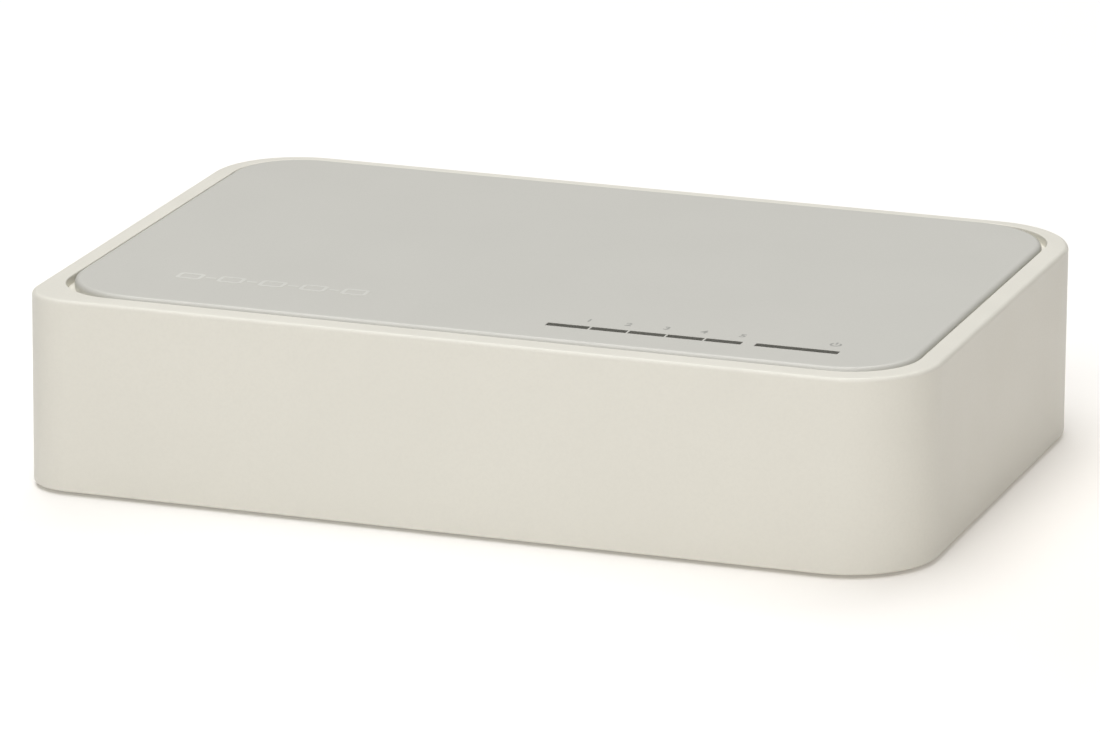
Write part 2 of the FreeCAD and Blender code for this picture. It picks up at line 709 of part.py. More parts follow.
# -------------------------------------------------------------------------------------- feet
for name, sx, sy in (
    ("foot_front_left", -1, -1), ("foot_front_right", 1, -1),
    ("foot_rear_left", -1, 1), ("foot_rear_right", 1, 1),
):
    b = piece(name, sx * D.foot_x, sy * D.foot_y)
    s = sketch(b, "FootOutline")
    circle(s, 0, 0, D.foot_radius)
    f = pad(b, "FootPad", s, D.foot_thick)
    fillet(b, "FootEdge", f, 0.3, at_height(0.0))

# -------------------------------------------------------------------------- label and screws
b = piece("rating_label")
s = sketch(b, "LabelOutline", offset=z_low + 0.05)
round_rect(s, -23.0, 0.0, 23.0, 22.0, (1.0, 1.0, 1.0, 1.0))
pad(b, "LabelSheet", s, 0.1)


def screw_group(name, places, head_at, head_r, head_t, shank_r, shank_l, point_up, drive):
    """Identical pan head screws as one group of solids."""
    parts = []
    sign = 1 if point_up else -1
    for k, (x, y) in enumerate(places):
        tag = "%s_%d" % (name, k + 1)
        head = DOC.addObject("Part::Cylinder", tag + "_head")
        bind(head, "Radius", head_r)
        bind(head, "Height", head_t)
        shank = DOC.addObject("Part::Cylinder", tag + "_shank")
        bind(shank, "Radius", shank_r)
        bind(shank, "Height", dim(shank_l) - 1.0)
        point = DOC.addObject("Part::Cone", tag + "_point")
        bind(point, "Radius1", shank_r if point_up else 0.25)
        bind(point, "Radius2", 0.25 if point_up else shank_r)
        bind(point, "Height", 1.0)
        recess_a = DOC.addObject("Part::Box", tag + "_drive_a")
        recess_b = DOC.addObject("Part::Box", tag + "_drive_b")
        head_at = dim(head_at)
        if point_up:
            z_head, z_shank = head_at - head_t, head_at
            z_point, z_drive = head_at + shank_l - 1.0, head_at - head_t - 0.5
        else:
            z_head, z_shank = head_at, head_at - shank_l + 1.0
            z_point, z_drive = head_at - shank_l, head_at + head_t - 0.9
        for o, z in ((head, z_head), (shank, z_shank), (point, z_point)):
            bind(o, "Placement.Base.x", x)
            bind(o, "Placement.Base.y", y)
            bind(o, "Placement.Base.z", z)
        for o, lx, ly in ((recess_a, drive, 0.5), (recess_b, 0.5, drive)):
            bind(o, "Length", lx)
            bind(o, "Width", ly)
            bind(o, "Height", 1.4)
            bind(o, "Placement.Base.x", dim(x) - lx / 2)
            bind(o, "Placement.Base.y", dim(y) - ly / 2)
            bind(o, "Placement.Base.z", z_drive)
        DOC.recompute()
        round_head = DOC.addObject("Part::Fillet", tag + "_round")
        round_head.Base = head
        z_round = z_head.v if point_up else (z_head + head_t).v
        ids = [
            i for i, e in enumerate(head.Shape.Edges, 1)
            if e.Closed and near(e.BoundBox.ZMin, z_round) and near(e.BoundBox.ZMax, z_round)
        ]
        round_head.Edges = [(i, 0.5, 0.5) for i in ids]
        body = DOC.addObject("Part::MultiFuse", tag + "_solid")
        body.Shapes = [round_head, shank, point]
        cross = DOC.addObject("Part::MultiFuse", tag + "_cross")
        cross.Shapes = [recess_a, recess_b]
        cut = DOC.addObject("Part::Cut", tag)
        cut.Base, cut.Tool = body, cross
        parts.append(cut)
    group = DOC.addObject("Part::Compound", name)
    group.Label = name
    group.Links = parts
    NODES.append(group)


screw_group(
    "case_screws",
    [(-D.case_screw_x, D.case_screw_y), (D.case_screw_x, D.case_screw_y)],
    z_low + 2.1, 2.4, 1.6, 1.25, 10.0, True, 2.6,
)
screw_group(
    "pcb_screws",
    [(-D.board_screw_x, D.board_screw_y), (D.board_screw_x, D.board_screw_y)],
    z_board, 2.0, 1.4, 0.95, 4.6, False, 2.2,
)

# -------------------------------------------------------------------------------- circuit board
b = piece("pcb")
s = sketch(b, "BoardOutline", offset=D.board_under)
round_rect(s, -43.0, -29.5, 43.0, in_d - 0.6, (2.5, 2.5, 2.5, 2.5))
pad(b, "Board", s, D.board_thick)
s = sketch(b, "BoardHoles", offset=z_board)
circle(s, -D.board_screw_x, D.board_screw_y, 1.2)
circle(s, D.board_screw_x, D.board_screw_y, 1.2)
circle(s, -40.4, 12.0, 1.0)
circle(s, 39.9, 13.0, 1.0)
circle(s, D.port_middle - 1.5 * D.port_pitch, 28.0, 1.6)
circle(s, D.port_middle + 1.5 * D.port_pitch, 28.0, 1.6)
box_around(s, D.inlet_middle, 23.5, 2.4, 0.9)
box_around(s, D.inlet_middle, 26.1, 2.4, 0.9)
pocket(b, "BoardHoleCut", s)
lead_y = jack_rear + 0.8
s = sketch(b, "FirstWireHole", offset=z_board)
circle(s, PORT_X[0] - 3.5 * D.wire_pitch, lead_y, 0.36)
f = pocket(b, "FirstWireHoleCut", s)
multi = b.newObject("PartDesign::MultiTransform", "WireHoleGrid")
multi.Originals = [f]
one = b.newObject("PartDesign::LinearPattern", "WireHoleRow")
one.Direction = (s, ["H_Axis"])
one.Mode = "Extent"
one.Length = (7 * D.wire_pitch).v
bind(one, "Length", 7 * D.wire_pitch)
one.Occurrences = 8
two = b.newObject("PartDesign::LinearPattern", "PortRow")
two.Direction = (s, ["H_Axis"])
two.Mode = "Extent"
two.Length = (4 * D.port_pitch).v
bind(two, "Length", 4 * D.port_pitch)
two.Occurrences = 5
multi.Transformations = [one, two]
b.Tip = multi

# ------------------------------------------------------------------------------ socket housing
b = piece("jack_housing")
s = sketch(b, "HousingOutline", offset=jack_low)
rect(s, jack_left, jack_rear, jack_right, D.jack_front)
f = pad(b, "HousingBlock", s, D.jack_height)
f = chamfer(
    b, "HousingEdges", f, 0.3,
    lambda m, p, q, e: upright(m, p, q, e) and near(m.y, D.jack_front),
)
s = sketch(b, "LocatingPegs", offset=jack_low)
circle(s, D.port_middle - 1.5 * D.port_pitch, 28.0, 1.5)
circle(s, D.port_middle + 1.5 * D.port_pitch, 28.0, 1.5)
pad(b, "LocatingPegPads", s, 2.4, against=True)
x = PORT_X[0]
hw = D.cavity_width / 2
# mouth: plug cavity with the two-step keyway of the latch below it
s = sketch(b, "PlugCavity", "XZ_Plane", offset=-(D.jack_front + 0.5))
polygon(
    s,
    [
        (x - hw, D.cavity_floor), (x - 3.1, D.cavity_floor),
        (x - 3.1, D.cavity_floor - 1.4), (x - 1.7, D.cavity_floor - 1.4),
        (x - 1.7, D.cavity_floor - 2.4), (x + 1.7, D.cavity_floor - 2.4),
        (x + 1.7, D.cavity_floor - 1.4), (x + 3.1, D.cavity_floor - 1.4),
        (x + 3.1, D.cavity_floor), (x + hw, D.cavity_floor),
        (x + hw, cavity_roof), (x - hw, cavity_roof),
    ],
)
f = pocket(b, "PlugCavityCut", s, D.jack_depth - 3.7 + 0.5, along=True)
row(b, "PlugCavityRow", f, s, "H_Axis", D.port_pitch * 4, 5)
# space over the cavity for the contact wires, closed towards the mouth by a lip
s = sketch(b, "WireSpace", "XZ_Plane", offset=-(D.jack_front - 1.0))
rect(s, x - 4.3, cavity_roof - 0.4, x + 4.3, cavity_roof + 1.5)
f = pocket(b, "WireSpaceCut", s, D.jack_depth - 3.7 - 1.0, along=True)
row(b, "WireSpaceRow", f, s, "H_Axis", D.port_pitch * 4, 5)
# seat of the contact carrier, from the rear
s = sketch(b, "CarrierSeat", "XZ_Plane", offset=-(jack_rear + 3.7))
rect(s, x - 6.2, jack_low + 0.7, x + 6.2, cavity_roof + 1.5)
f = pocket(b, "CarrierSeatCut", s, 4.2, along=True)
row(b, "CarrierSeatRow", f, s, "H_Axis", D.port_pitch * 4, 5)
s = sketch(b, "WireExit", offset=jack_low + 0.8)
rect(s, x - 4.3, jack_rear - 0.5, x + 4.3, jack_rear + 1.4)
f = pocket(b, "WireExitCut", s, 1.5)
row(b, "WireExitRow", f, s, "H_Axis", D.port_pitch * 4, 5)

# --------------------------------------------- per socket: carrier, fixed wires, sprung arms
wire_top = cavity_roof + 1.3           # upper face of the wires' run along the roof
wire_fold = D.jack_front - 1.15        # front face of the wires' fold
pivot_z = wire_top - D.wire_thick - 0.4
arm_thick = D.wire_thick * 1.07        # thickness of the sloping arm measured upright
for i in range(5):
    n = i + 1
    # carrier
    b = piece("port_%d_insert" % n, PORT_X[i])
    s = sketch(b, "CarrierOutline", offset=jack_low + 0.8)
    rect(s, -6.05, jack_rear + 0.1, 6.05, jack_rear + 3.6)
    pad(b, "CarrierBlock", s, cavity_roof + 0.75 - jack_low - 0.8)
    s = sketch(b, "CombOutline", offset=D.cavity_floor + 2.6)
    rect(s, -4.2, jack_rear + 3.5, 4.2, jack_rear + 5.1)
    pad(b, "CombBlock", s, 4.2)
    s = sketch(b, "FirstWireGroove", offset=cavity_roof + 1.5)
    box_around(s, -3.5 * D.wire_pitch, jack_rear + 0.5, 0.56, 1.3)
    box_around(s, -3.5 * D.wire_pitch, jack_rear + 4.6, 0.6, 2.0)
    f = pocket(b, "FirstWireGrooveCut", s)
    row(b, "WireGrooveRow", f, s, "H_Axis", 7 * D.wire_pitch, 8)
    # fixed part of the eight wires: tail through the board, up the carrier, forward, fold
    b = piece("port_%d_leads" % n, PORT_X[i])
    s = sketch(b, "LeadProfile", "YZ_Plane", offset=-(3.5 * D.wire_pitch))
    th = D.wire_thick
    polygon(
        s,
        [
            (lead_y - th / 2, D.board_under - 1.2), (lead_y + th / 2, D.board_under - 1.2),
            (lead_y + th / 2, wire_top - th), (wire_fold - th, wire_top - th),
            (wire_fold - th, pivot_z + 0.15), (wire_fold, pivot_z + 0.15),
            (wire_fold, wire_top), (lead_y - th / 2, wire_top),
        ],
    )
    f = pad(b, "LeadPad", s, D.wire_wide, middle=True)
    f = fillet(
        b, "LeadBends", f, 0.28,
        lambda m, p, q, e: near(p.y, q.y) and near(p.z, q.z) and near(m.z, wire_top),
    )
    multi = b.newObject("PartDesign::LinearPattern", "LeadRow")
    multi.TransformMode = "Whole shape"
    multi.Originals = []
    axis = [o for o in b.Origin.OriginFeatures if o.Role == "X_Axis"][0]
    multi.Direction = (axis, [""])
    multi.Mode = "Extent"
    multi.Length = (7 * D.wire_pitch).v
    bind(multi, "Length", 7 * D.wire_pitch)
    multi.Occurrences = 8
    b.Tip = multi
    # sprung arms of the eight wires
    b = piece("port_%d_springs" % n, PORT_X[i])
    s = sketch(b, "ArmProfile", "YZ_Plane", offset=-(3.5 * D.wire_pitch))
    y_in = wire_fold - th
    arm_end = jack_rear + 4.8
    z_in = pivot_z - 0.3
    polygon(
        s,
        [
            (y_in, pivot_z), (y_in, z_in),
            (arm_end, z_in - D.wire_fall * (y_in - arm_end)),
            (arm_end, z_in - D.wire_fall * (y_in - arm_end) - arm_thick),
            (wire_fold, z_in + D.wire_fall * th - arm_thick),
            (wire_fold, pivot_z),
        ],
    )
    f = pad(b, "ArmPad", s, D.wire_wide, middle=True)
    zc = (z_in + D.wire_fall * th - arm_thick).v
    f = fillet(
        b, "ArmBend", f, 0.24,
        lambda m, p, q, e: near(p.y, q.y) and near(p.z, q.z)
        and near(m.z, zc) and near(m.y, wire_fold),
    )
    multi = b.newObject("PartDesign::LinearPattern", "ArmRow")
    multi.TransformMode = "Whole shape"
    multi.Originals = []
    axis = [o for o in b.Origin.OriginFeatures if o.Role == "X_Axis"][0]
    multi.Direction = (axis, [""])
    multi.Mode = "Extent"
    multi.Length = (7 * D.wire_pitch).v
    bind(multi, "Length", 7 * D.wire_pitch)
    multi.Occurrences = 8
    b.Tip = multi

# --------------------------------------------------------------------------------- power inlet
inlet_front = D.jack_front
inlet_rear = inlet_front - 10.5
b = piece("dc_jack_body", D.inlet_middle)
s = sketch(b, "InletOutline", offset=z_board)
rect(s, -D.inlet_width / 2, inlet_rear, D.inlet_width / 2, inlet_front)
f = pad(b, "InletBlock", s, D.inlet_height)
f = chamfer(
    b, "InletEdges", f, 0.5,
    lambda m, p, q, e: near(p.x, q.x) and near(p.z, q.z) and near(m.z, z_board + D.inlet_height),
)
s = sketch(b, "BarrelMouth", "XZ_Plane", offset=-(inlet_front))
circle(s, 0, D.inlet_axis, D.inlet_bore_radius + 0.45)
pocket(b, "BarrelMouthCut", s, 0.5, along=True)
s = sketch(b, "Barrel", "XZ_Plane", offset=-(inlet_front))
circle(s, 0, D.inlet_axis, D.inlet_bore_radius)
pocket(b, "BarrelCut", s, 8.8, along=True)
s = sketch(b, "PinHole", "XZ_Plane", offset=-(inlet_front))
circle(s, 0, D.inlet_axis, 0.46)
pocket(b, "PinHoleCut", s, 12.0, along=True)
s = sketch(b, "BladeSlot", offset=z_board)
rect(s, -1.15, inlet_rear + 1.6, 1.15, inlet_front - 1.0)
pocket(b, "BladeSlotCut", s, D.inlet_axis - z_board, along=True)

b = piece("dc_jack_pin", D.inlet_middle)
s = sketch(b, "PinProfile", "YZ_Plane")
pin_back = inlet_front - 8.8
pin_tip = inlet_front - 1.5
rp = D.inlet_pin_radius
polygon(
    s,
    [
        (inlet_rear - 0.7, D.inlet_axis), (pin_tip, D.inlet_axis),
        (pin_tip, D.inlet_axis + 0.25), (pin_tip - 0.45, D.inlet_axis + rp),
        (pin_back, D.inlet_axis + rp), (pin_back, D.inlet_axis + 0.45),
        (inlet_rear - 0.7, D.inlet_axis + 0.45),
    ],
)
f = b.newObject("PartDesign::Revolution", "PinTurned")
f.Profile = s
f.ReferenceAxis = (s, ["Edge1"])
f.Angle = 360
s.Visibility = False
s = sketch(b, "PinTail", "XZ_Plane", offset=-(inlet_rear - 0.3))
rect(s, -0.9, D.board_under - 1.0, 0.9, D.inlet_axis + 1.0)
pad(b, "PinTailPad", s, 0.4)

b = piece("dc_jack_terminal", D.inlet_middle)
s = sketch(b, "TerminalProfile", "YZ_Plane")
ty = inlet_rear + 1.75
polygon(
    s,
    [
        (ty, D.board_under - 1.0), (ty + 0.3, D.board_under - 1.0),
        (ty + 0.3, 7.45), (ty, 7.45),
    ],
)
pad(b, "TerminalPad", s, 1.8, middle=True)

b = piece("dc_jack_spring", D.inlet_middle)
s = sketch(b, "BladeProfile", "YZ_Plane")
hy = ty + 0.5
polygon(
    s,
    [
        (hy, 7.15), (hy + 3.6, 7.15), (hy + 4.7, 8.15), (hy + 5.9, 7.4),
        (hy + 5.9, 7.75), (hy + 4.7, 8.5), (hy + 3.5, 7.45), (hy, 7.45),
    ],
)
pad(b, "BladePad", s, 1.8, middle=True)

# ------------------------------------------------------------------------- parts on the board
def lead_shape(s, y_body, y_out, z_mid, th):
    """Gull-wing lead in the YZ plane, from the package side out to the board."""
    foot = 0.55
    polygon(
        s,
        [
            (y_body, z_mid), (y_body + 0.35, z_mid), (y_out - foot, z_board + th),
            (y_out, z_board + th), (y_out, z_board), (y_out - foot - 0.12, z_board),
            (y_body + 0.23, z_mid - th), (y_body, z_mid - th),
        ],
    )


b = piece("switch_chip", -2.0, -9.5)
s = sketch(b, "PackageOutline", offset=z_board + 0.12)
box_around(s, 0, 0, 10.0, 10.0)
f = pad(b, "Package", s, 1.4)
f = chamfer(b, "PackageEdge", f, 0.15, at_height(z_board + 1.52))
s = sketch(b, "FirstLeadMark", offset=z_board + 1.52)
circle(s, -3.9, -3.9, 0.5)
pocket(b, "FirstLeadMarkCut", s, 0.1)

b = piece("switch_chip_leads", -2.0, -9.5)
s = sketch(b, "ChipLead", "YZ_Plane", offset=-3.75)
lead_shape(s, 5.0, 6.0, z_board + 0.85, 0.13)
f = pad(b, "ChipLeadPad", s, 0.22, middle=True)
multi = b.newObject("PartDesign::MultiTransform", "ChipLeadFrame")
multi.Originals = [f]
axes = {o.Role: o for o in b.Origin.OriginFeatures}
one = b.newObject("PartDesign::LinearPattern", "ChipLeadRow")
one.Direction = (axes["X_Axis"], [""])
one.Mode = "Extent"
one.Length = 7.5
one.Occurrences = 16
two = b.newObject("PartDesign::PolarPattern", "ChipSides")
two.Axis = (axes["Z_Axis"], [""])
two.Mode = "Extent"
two.Angle = 360
two.Occurrences = 4
multi.Transformations = [one, two]
b.Tip = multi

for i in range(5):
    b = piece("magnetics_%d" % (i + 1), PORT_X[i], 10.2)
    s = sketch(b, "PackageOutline", offset=z_board + 0.15)
    box_around(s, 0, 0, 12.7, 7.0)
    f = pad(b, "Package", s, 5.4)
    chamfer(b, "PackageEdge", f, 0.3, at_height(z_board + 5.55))

b = piece("magnetics_leads", D.port_middle, 10.2)
s = sketch(b, "MagneticsLead", "YZ_Plane", offset=-(2 * D.port_pitch) - 4.445)
lead_shape(s, 3.5, 4.85, z_board + 1.6, 0.25)
f = pad(b, "MagneticsLeadPad", s, 0.45, middle=True)
multi = b.newObject("PartDesign::MultiTransform", "MagneticsLeadGrid")
multi.Originals = [f]
axes = {o.Role: o for o in b.Origin.OriginFeatures}
one = b.newObject("PartDesign::LinearPattern", "LeadRow")
one.Direction = (axes["X_Axis"], [""])
one.Mode = "Extent"
one.Length = 8.89
one.Occurrences = 8
two = b.newObject("PartDesign::Mirrored", "OtherSide")
two.MirrorPlane = (axes["XZ_Plane"], [""])
three = b.newObject("PartDesign::LinearPattern", "PortRow")
three.Direction = (axes["X_Axis"], [""])
three.Mode = "Extent"
three.Length = (4 * D.port_pitch).v
bind(three, "Length", 4 * D.port_pitch)
three.Occurrences = 5
multi.Transformations = [one, two, three]
b.Tip = multi

b = piece("crystal", -19.0, -11.0)
s = sketch(b, "CanFoot", offset=z_board)
slot_y(s, 0, -3.3, 3.3, 2.35)
pad(b, "CanFootPad", s, 0.5)
s = sketch(b, "CanOutline", offset=z_board + 0.5)
slot_y(s, 0, -3.3, 3.3, 1.95)
f = pad(b, "CanPad", s, 3.0)
fillet(b, "CanTop", f, 0.4, at_height(z_board + 3.5))

for name, x, y, r, tall in (
    ("input_capacitor", 36.0, 4.6, 3.15, 7.7),
    ("output_capacitor", 20.0, -9.5, 2.5, 5.8),
):
    b = piece(name + "_base", x, y)
    s = sketch(b, "SeatOutline", offset=z_board)
    a = r + 0.15
    polygon(
        s,
        [(-a, -a), (a - 1.0, -a), (a, -a + 1.0), (a, a - 1.0), (a - 1.0, a), (-a, a)],
    )
    pad(b, "Seat", s, 0.9)
    b = piece(name + "_can", x, y)
    s = sketch(b, "CanProfile", "YZ_Plane")
    z0 = z_board + 0.9
    z1 = z_board + tall
    polygon(
        s,
        [
            (0, z0), (r, z0), (r, z0 + 1.0), (r - 0.2, z0 + 1.25), (r, z0 + 1.5),
            (r, z1 - 0.3), (r - 0.3, z1), (0, z1),
        ],
    )
    f = b.newObject("PartDesign::Revolution", "CanTurned")
    f.Profile = s
    f.ReferenceAxis = (s, ["V_Axis"])
    f.Angle = 360
    s.Visibility = False

b = piece("power_inductor", 28.6, -9.5)
s = sketch(b, "FerriteOutline", offset=z_board)
h, k = 3.0, 2.0
polygon(s, [(-h, -k), (-k, -h), (k, -h), (h, -k), (h, k), (k, h), (-k, h), (-h, k)])
pad(b, "FerriteFoot", s, 0.6)
s = sketch(b, "WindingOutline", offset=z_board + 0.6)
circle(s, 0, 0, 2.5)
pad(b, "Winding", s, 1.8)
s = sketch(b, "FerriteCap", offset=z_board + 2.4)
circle(s, 0, 0, 2.8)
pad(b, "FerriteCapPad", s, 0.5)

b = piece("regulator_chip", 36.6, -4.2)
s = sketch(b, "PackageOutline", offset=z_board + 0.1)
box_around(s, 0, 0, 2.9, 1.6)
pad(b, "Package", s, 1.1)
s = sketch(b, "Tabs", offset=z_board)
for tx in (-0.95, 0.0, 0.95):
    box_around(s, tx, -1.1, 0.4, 1.0)
    box_around(s, tx, 1.1, 0.4, 1.0)
pad(b, "TabPads", s, 0.25)

b = piece("protection_diode", 36.0, 17.5)
s = sketch(b, "PackageOutline", offset=z_board + 0.1)
box_around(s, 0, 0, 4.3, 2.6)
pad(b, "Package", s, 2.1)
s = sketch(b, "Tabs", offset=z_board)
box_around(s, -2.1, 0, 1.0, 1.5)
box_around(s, 2.1, 0, 1.0, 1.5)
pad(b, "TabPads", s, 0.3)


def chips(name, size, places):
    """Small identical parts on the board, one group of solids."""
    boxes = []
    for k, (x, y, turned) in enumerate(places):
        o = DOC.addObject("Part::Box", "%s_%d" % (name, k + 1))
        lx, ly, lz = size
        if turned:
            lx, ly = ly, lx
        bind(o, "Length", lx)
        bind(o, "Width", ly)
        bind(o, "Height", lz)
        bind(o, "Placement.Base.x", dim(x) - lx / 2)
        bind(o, "Placement.Base.y", dim(y) - ly / 2)
        bind(o, "Placement.Base.z", z_board)
        boxes.append(o)
    group = DOC.addObject("Part::Compound", name)
    group.Label = name
    group.Links = boxes
    NODES.append(group)


chips(
    "smd_resistors", (1.6, 0.8, 0.45),
    [(px_, -22.6, True) for px_ in BAR_X] + [(POWER_X, -22.6, True)]
    + [(-10.6, -14.0 + 1.6 * k, False) for k in range(5)]
    + [(7.2, -13.0 + 1.6 * k, False) for k in range(4)],
)
chips(
    "smd_capacitors", (1.6, 0.8, 0.8),
    [(PORT_X[i] + d_, 3.6, True) for i in range(5) for d_ in (-2.0, 2.0)]
    + [(-5.6, -18.2, False), (-2.0, -18.2, False), (1.6, -18.2, False)]
    + [(33.5, -8.0, True), (24.0, -14.8, False), (-25.0, -11.0, True)],
)

for name, x in [("led_%d" % (i + 1), BAR_X[i]) for i in range(5)] + [("led_power", POWER_X)]:
    base = DOC.addObject("Part::Box", name + "_base")
    lens = DOC.addObject("Part::Box", name + "_lens")
    for o, lx, ly, z0, lz in (
        (base, 0.8, 1.6, z_board, 0.3), (lens, 0.8, 1.0, z_board + 0.3, 0.35),
    ):
        bind(o, "Length", lx)
        bind(o, "Width", ly)
        bind(o, "Height", lz)
        bind(o, "Placement.Base.x", x - lx / 2)
        bind(o, "Placement.Base.y", D.bar_y - ly / 2)
        bind(o, "Placement.Base.z", z0)
    both = DOC.addObject("Part::Fuse", name)
    both.Base, both.Tool = base, lens
    both.Label = name
    NODES.append(both)

# ------------------------------------------------------------------------------ check and write
DOC.recompute()
bad = []
for o in DOC.Objects:
    if "Invalid" in o.State or "Error" in o.State:
        bad.append("%s is %s" % (o.Name, o.State))
    if o.TypeId in ("PartDesign::Pocket",) and o.BaseFeature is not None:
        if o.Shape.Volume > o.BaseFeature.Shape.Volume - 1e-4:
            bad.append("%s cuts nothing" % o.Name)
    if o.TypeId == "Sketcher::SketchObject" and o.solve() != 0:
        bad.append("%s does not solve" % o.Name)
for o in NODES:
    if o.Shape.isNull() or not o.Shape.isValid() or not o.Shape.Solids:
        bad.append("%s has no valid solid" % o.Label)
if len({o.Label for o in NODES}) != len(NODES) or len(NODES) > 60:
    bad.append("labels repeat or there are too many")
if bad:
    raise RuntimeError("; ".join(bad))

os.makedirs("parts", exist_ok=True)
for o in NODES:
    o.Shape.exportStep(os.path.join("parts", o.Label + ".step"))
    bb = o.Shape.BoundBox
    print(
        "%-24s solids %2d  vol %9.2f  x %.2f..%.2f  y %.2f..%.2f  z %.2f..%.2f"
        % (o.Label, len(o.Shape.Solids), o.Shape.Volume, bb.XMin, bb.XMax,
           bb.YMin, bb.YMax, bb.ZMin, bb.ZMax)
    )
print(len(NODES), "nodes")
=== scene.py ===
import json
import math
import random

import bmesh
import bpy
from mathutils import Matrix, Vector


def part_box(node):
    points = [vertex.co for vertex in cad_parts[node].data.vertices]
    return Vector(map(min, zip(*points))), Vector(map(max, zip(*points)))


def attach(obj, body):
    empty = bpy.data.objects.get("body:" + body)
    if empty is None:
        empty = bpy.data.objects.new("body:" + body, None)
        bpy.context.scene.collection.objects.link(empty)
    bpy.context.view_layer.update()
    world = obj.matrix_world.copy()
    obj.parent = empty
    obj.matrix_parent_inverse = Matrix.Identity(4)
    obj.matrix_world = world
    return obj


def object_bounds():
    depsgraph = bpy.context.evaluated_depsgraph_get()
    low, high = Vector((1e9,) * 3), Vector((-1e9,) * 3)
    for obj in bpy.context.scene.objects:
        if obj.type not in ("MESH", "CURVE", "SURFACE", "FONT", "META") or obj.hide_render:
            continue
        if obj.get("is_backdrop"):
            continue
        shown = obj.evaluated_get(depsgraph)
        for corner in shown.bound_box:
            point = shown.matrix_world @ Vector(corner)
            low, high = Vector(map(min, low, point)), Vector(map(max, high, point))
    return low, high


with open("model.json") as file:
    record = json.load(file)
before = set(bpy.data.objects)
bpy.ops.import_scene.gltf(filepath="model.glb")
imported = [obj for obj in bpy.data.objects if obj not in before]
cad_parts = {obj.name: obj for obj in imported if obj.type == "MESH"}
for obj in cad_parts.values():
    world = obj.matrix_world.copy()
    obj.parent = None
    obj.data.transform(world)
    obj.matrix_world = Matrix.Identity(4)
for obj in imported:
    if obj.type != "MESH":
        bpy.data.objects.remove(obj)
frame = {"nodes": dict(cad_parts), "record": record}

random.seed(7)
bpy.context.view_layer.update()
NODES = frame["nodes"]
SLOT_OF = {s["node"]: s["material_slot"] for s in frame["record"]["subparts"]}
scene = bpy.context.scene
scene.view_settings.view_transform = "Standard"
scene.view_settings.look = "None"
MM = 0.001

# ------------------------------------------------------------------ camera
AZ, EL, ROLL = math.radians(19.065), math.radians(15.895), math.radians(0.396)
TARGET = Vector((0.073, -4.382, 11.5)) * MM
DIST = 890.775 * MM
back = Vector((math.sin(AZ) * math.cos(EL), -math.cos(AZ) * math.cos(EL), math.sin(EL)))
right = Vector((0, 0, 1)).cross(back).normalized()
up = back.cross(right)
r2 = right * math.cos(ROLL) + up * math.sin(ROLL)
u2 = up * math.cos(ROLL) - right * math.sin(ROLL)
cam_data = bpy.data.cameras.new("camera")
cam_data.lens = 7924.065 / 1100 * 36
cam_data.sensor_width = 36
cam_data.sensor_fit = "HORIZONTAL"
cam_data.clip_start, cam_data.clip_end = 0.01, 20
cam = bpy.data.objects.new("camera", cam_data)
m = Matrix((r2, u2, back)).transposed().to_4x4()
m.translation = TARGET + back * DIST
cam.matrix_world = m
scene.collection.objects.link(cam)
scene.camera = cam


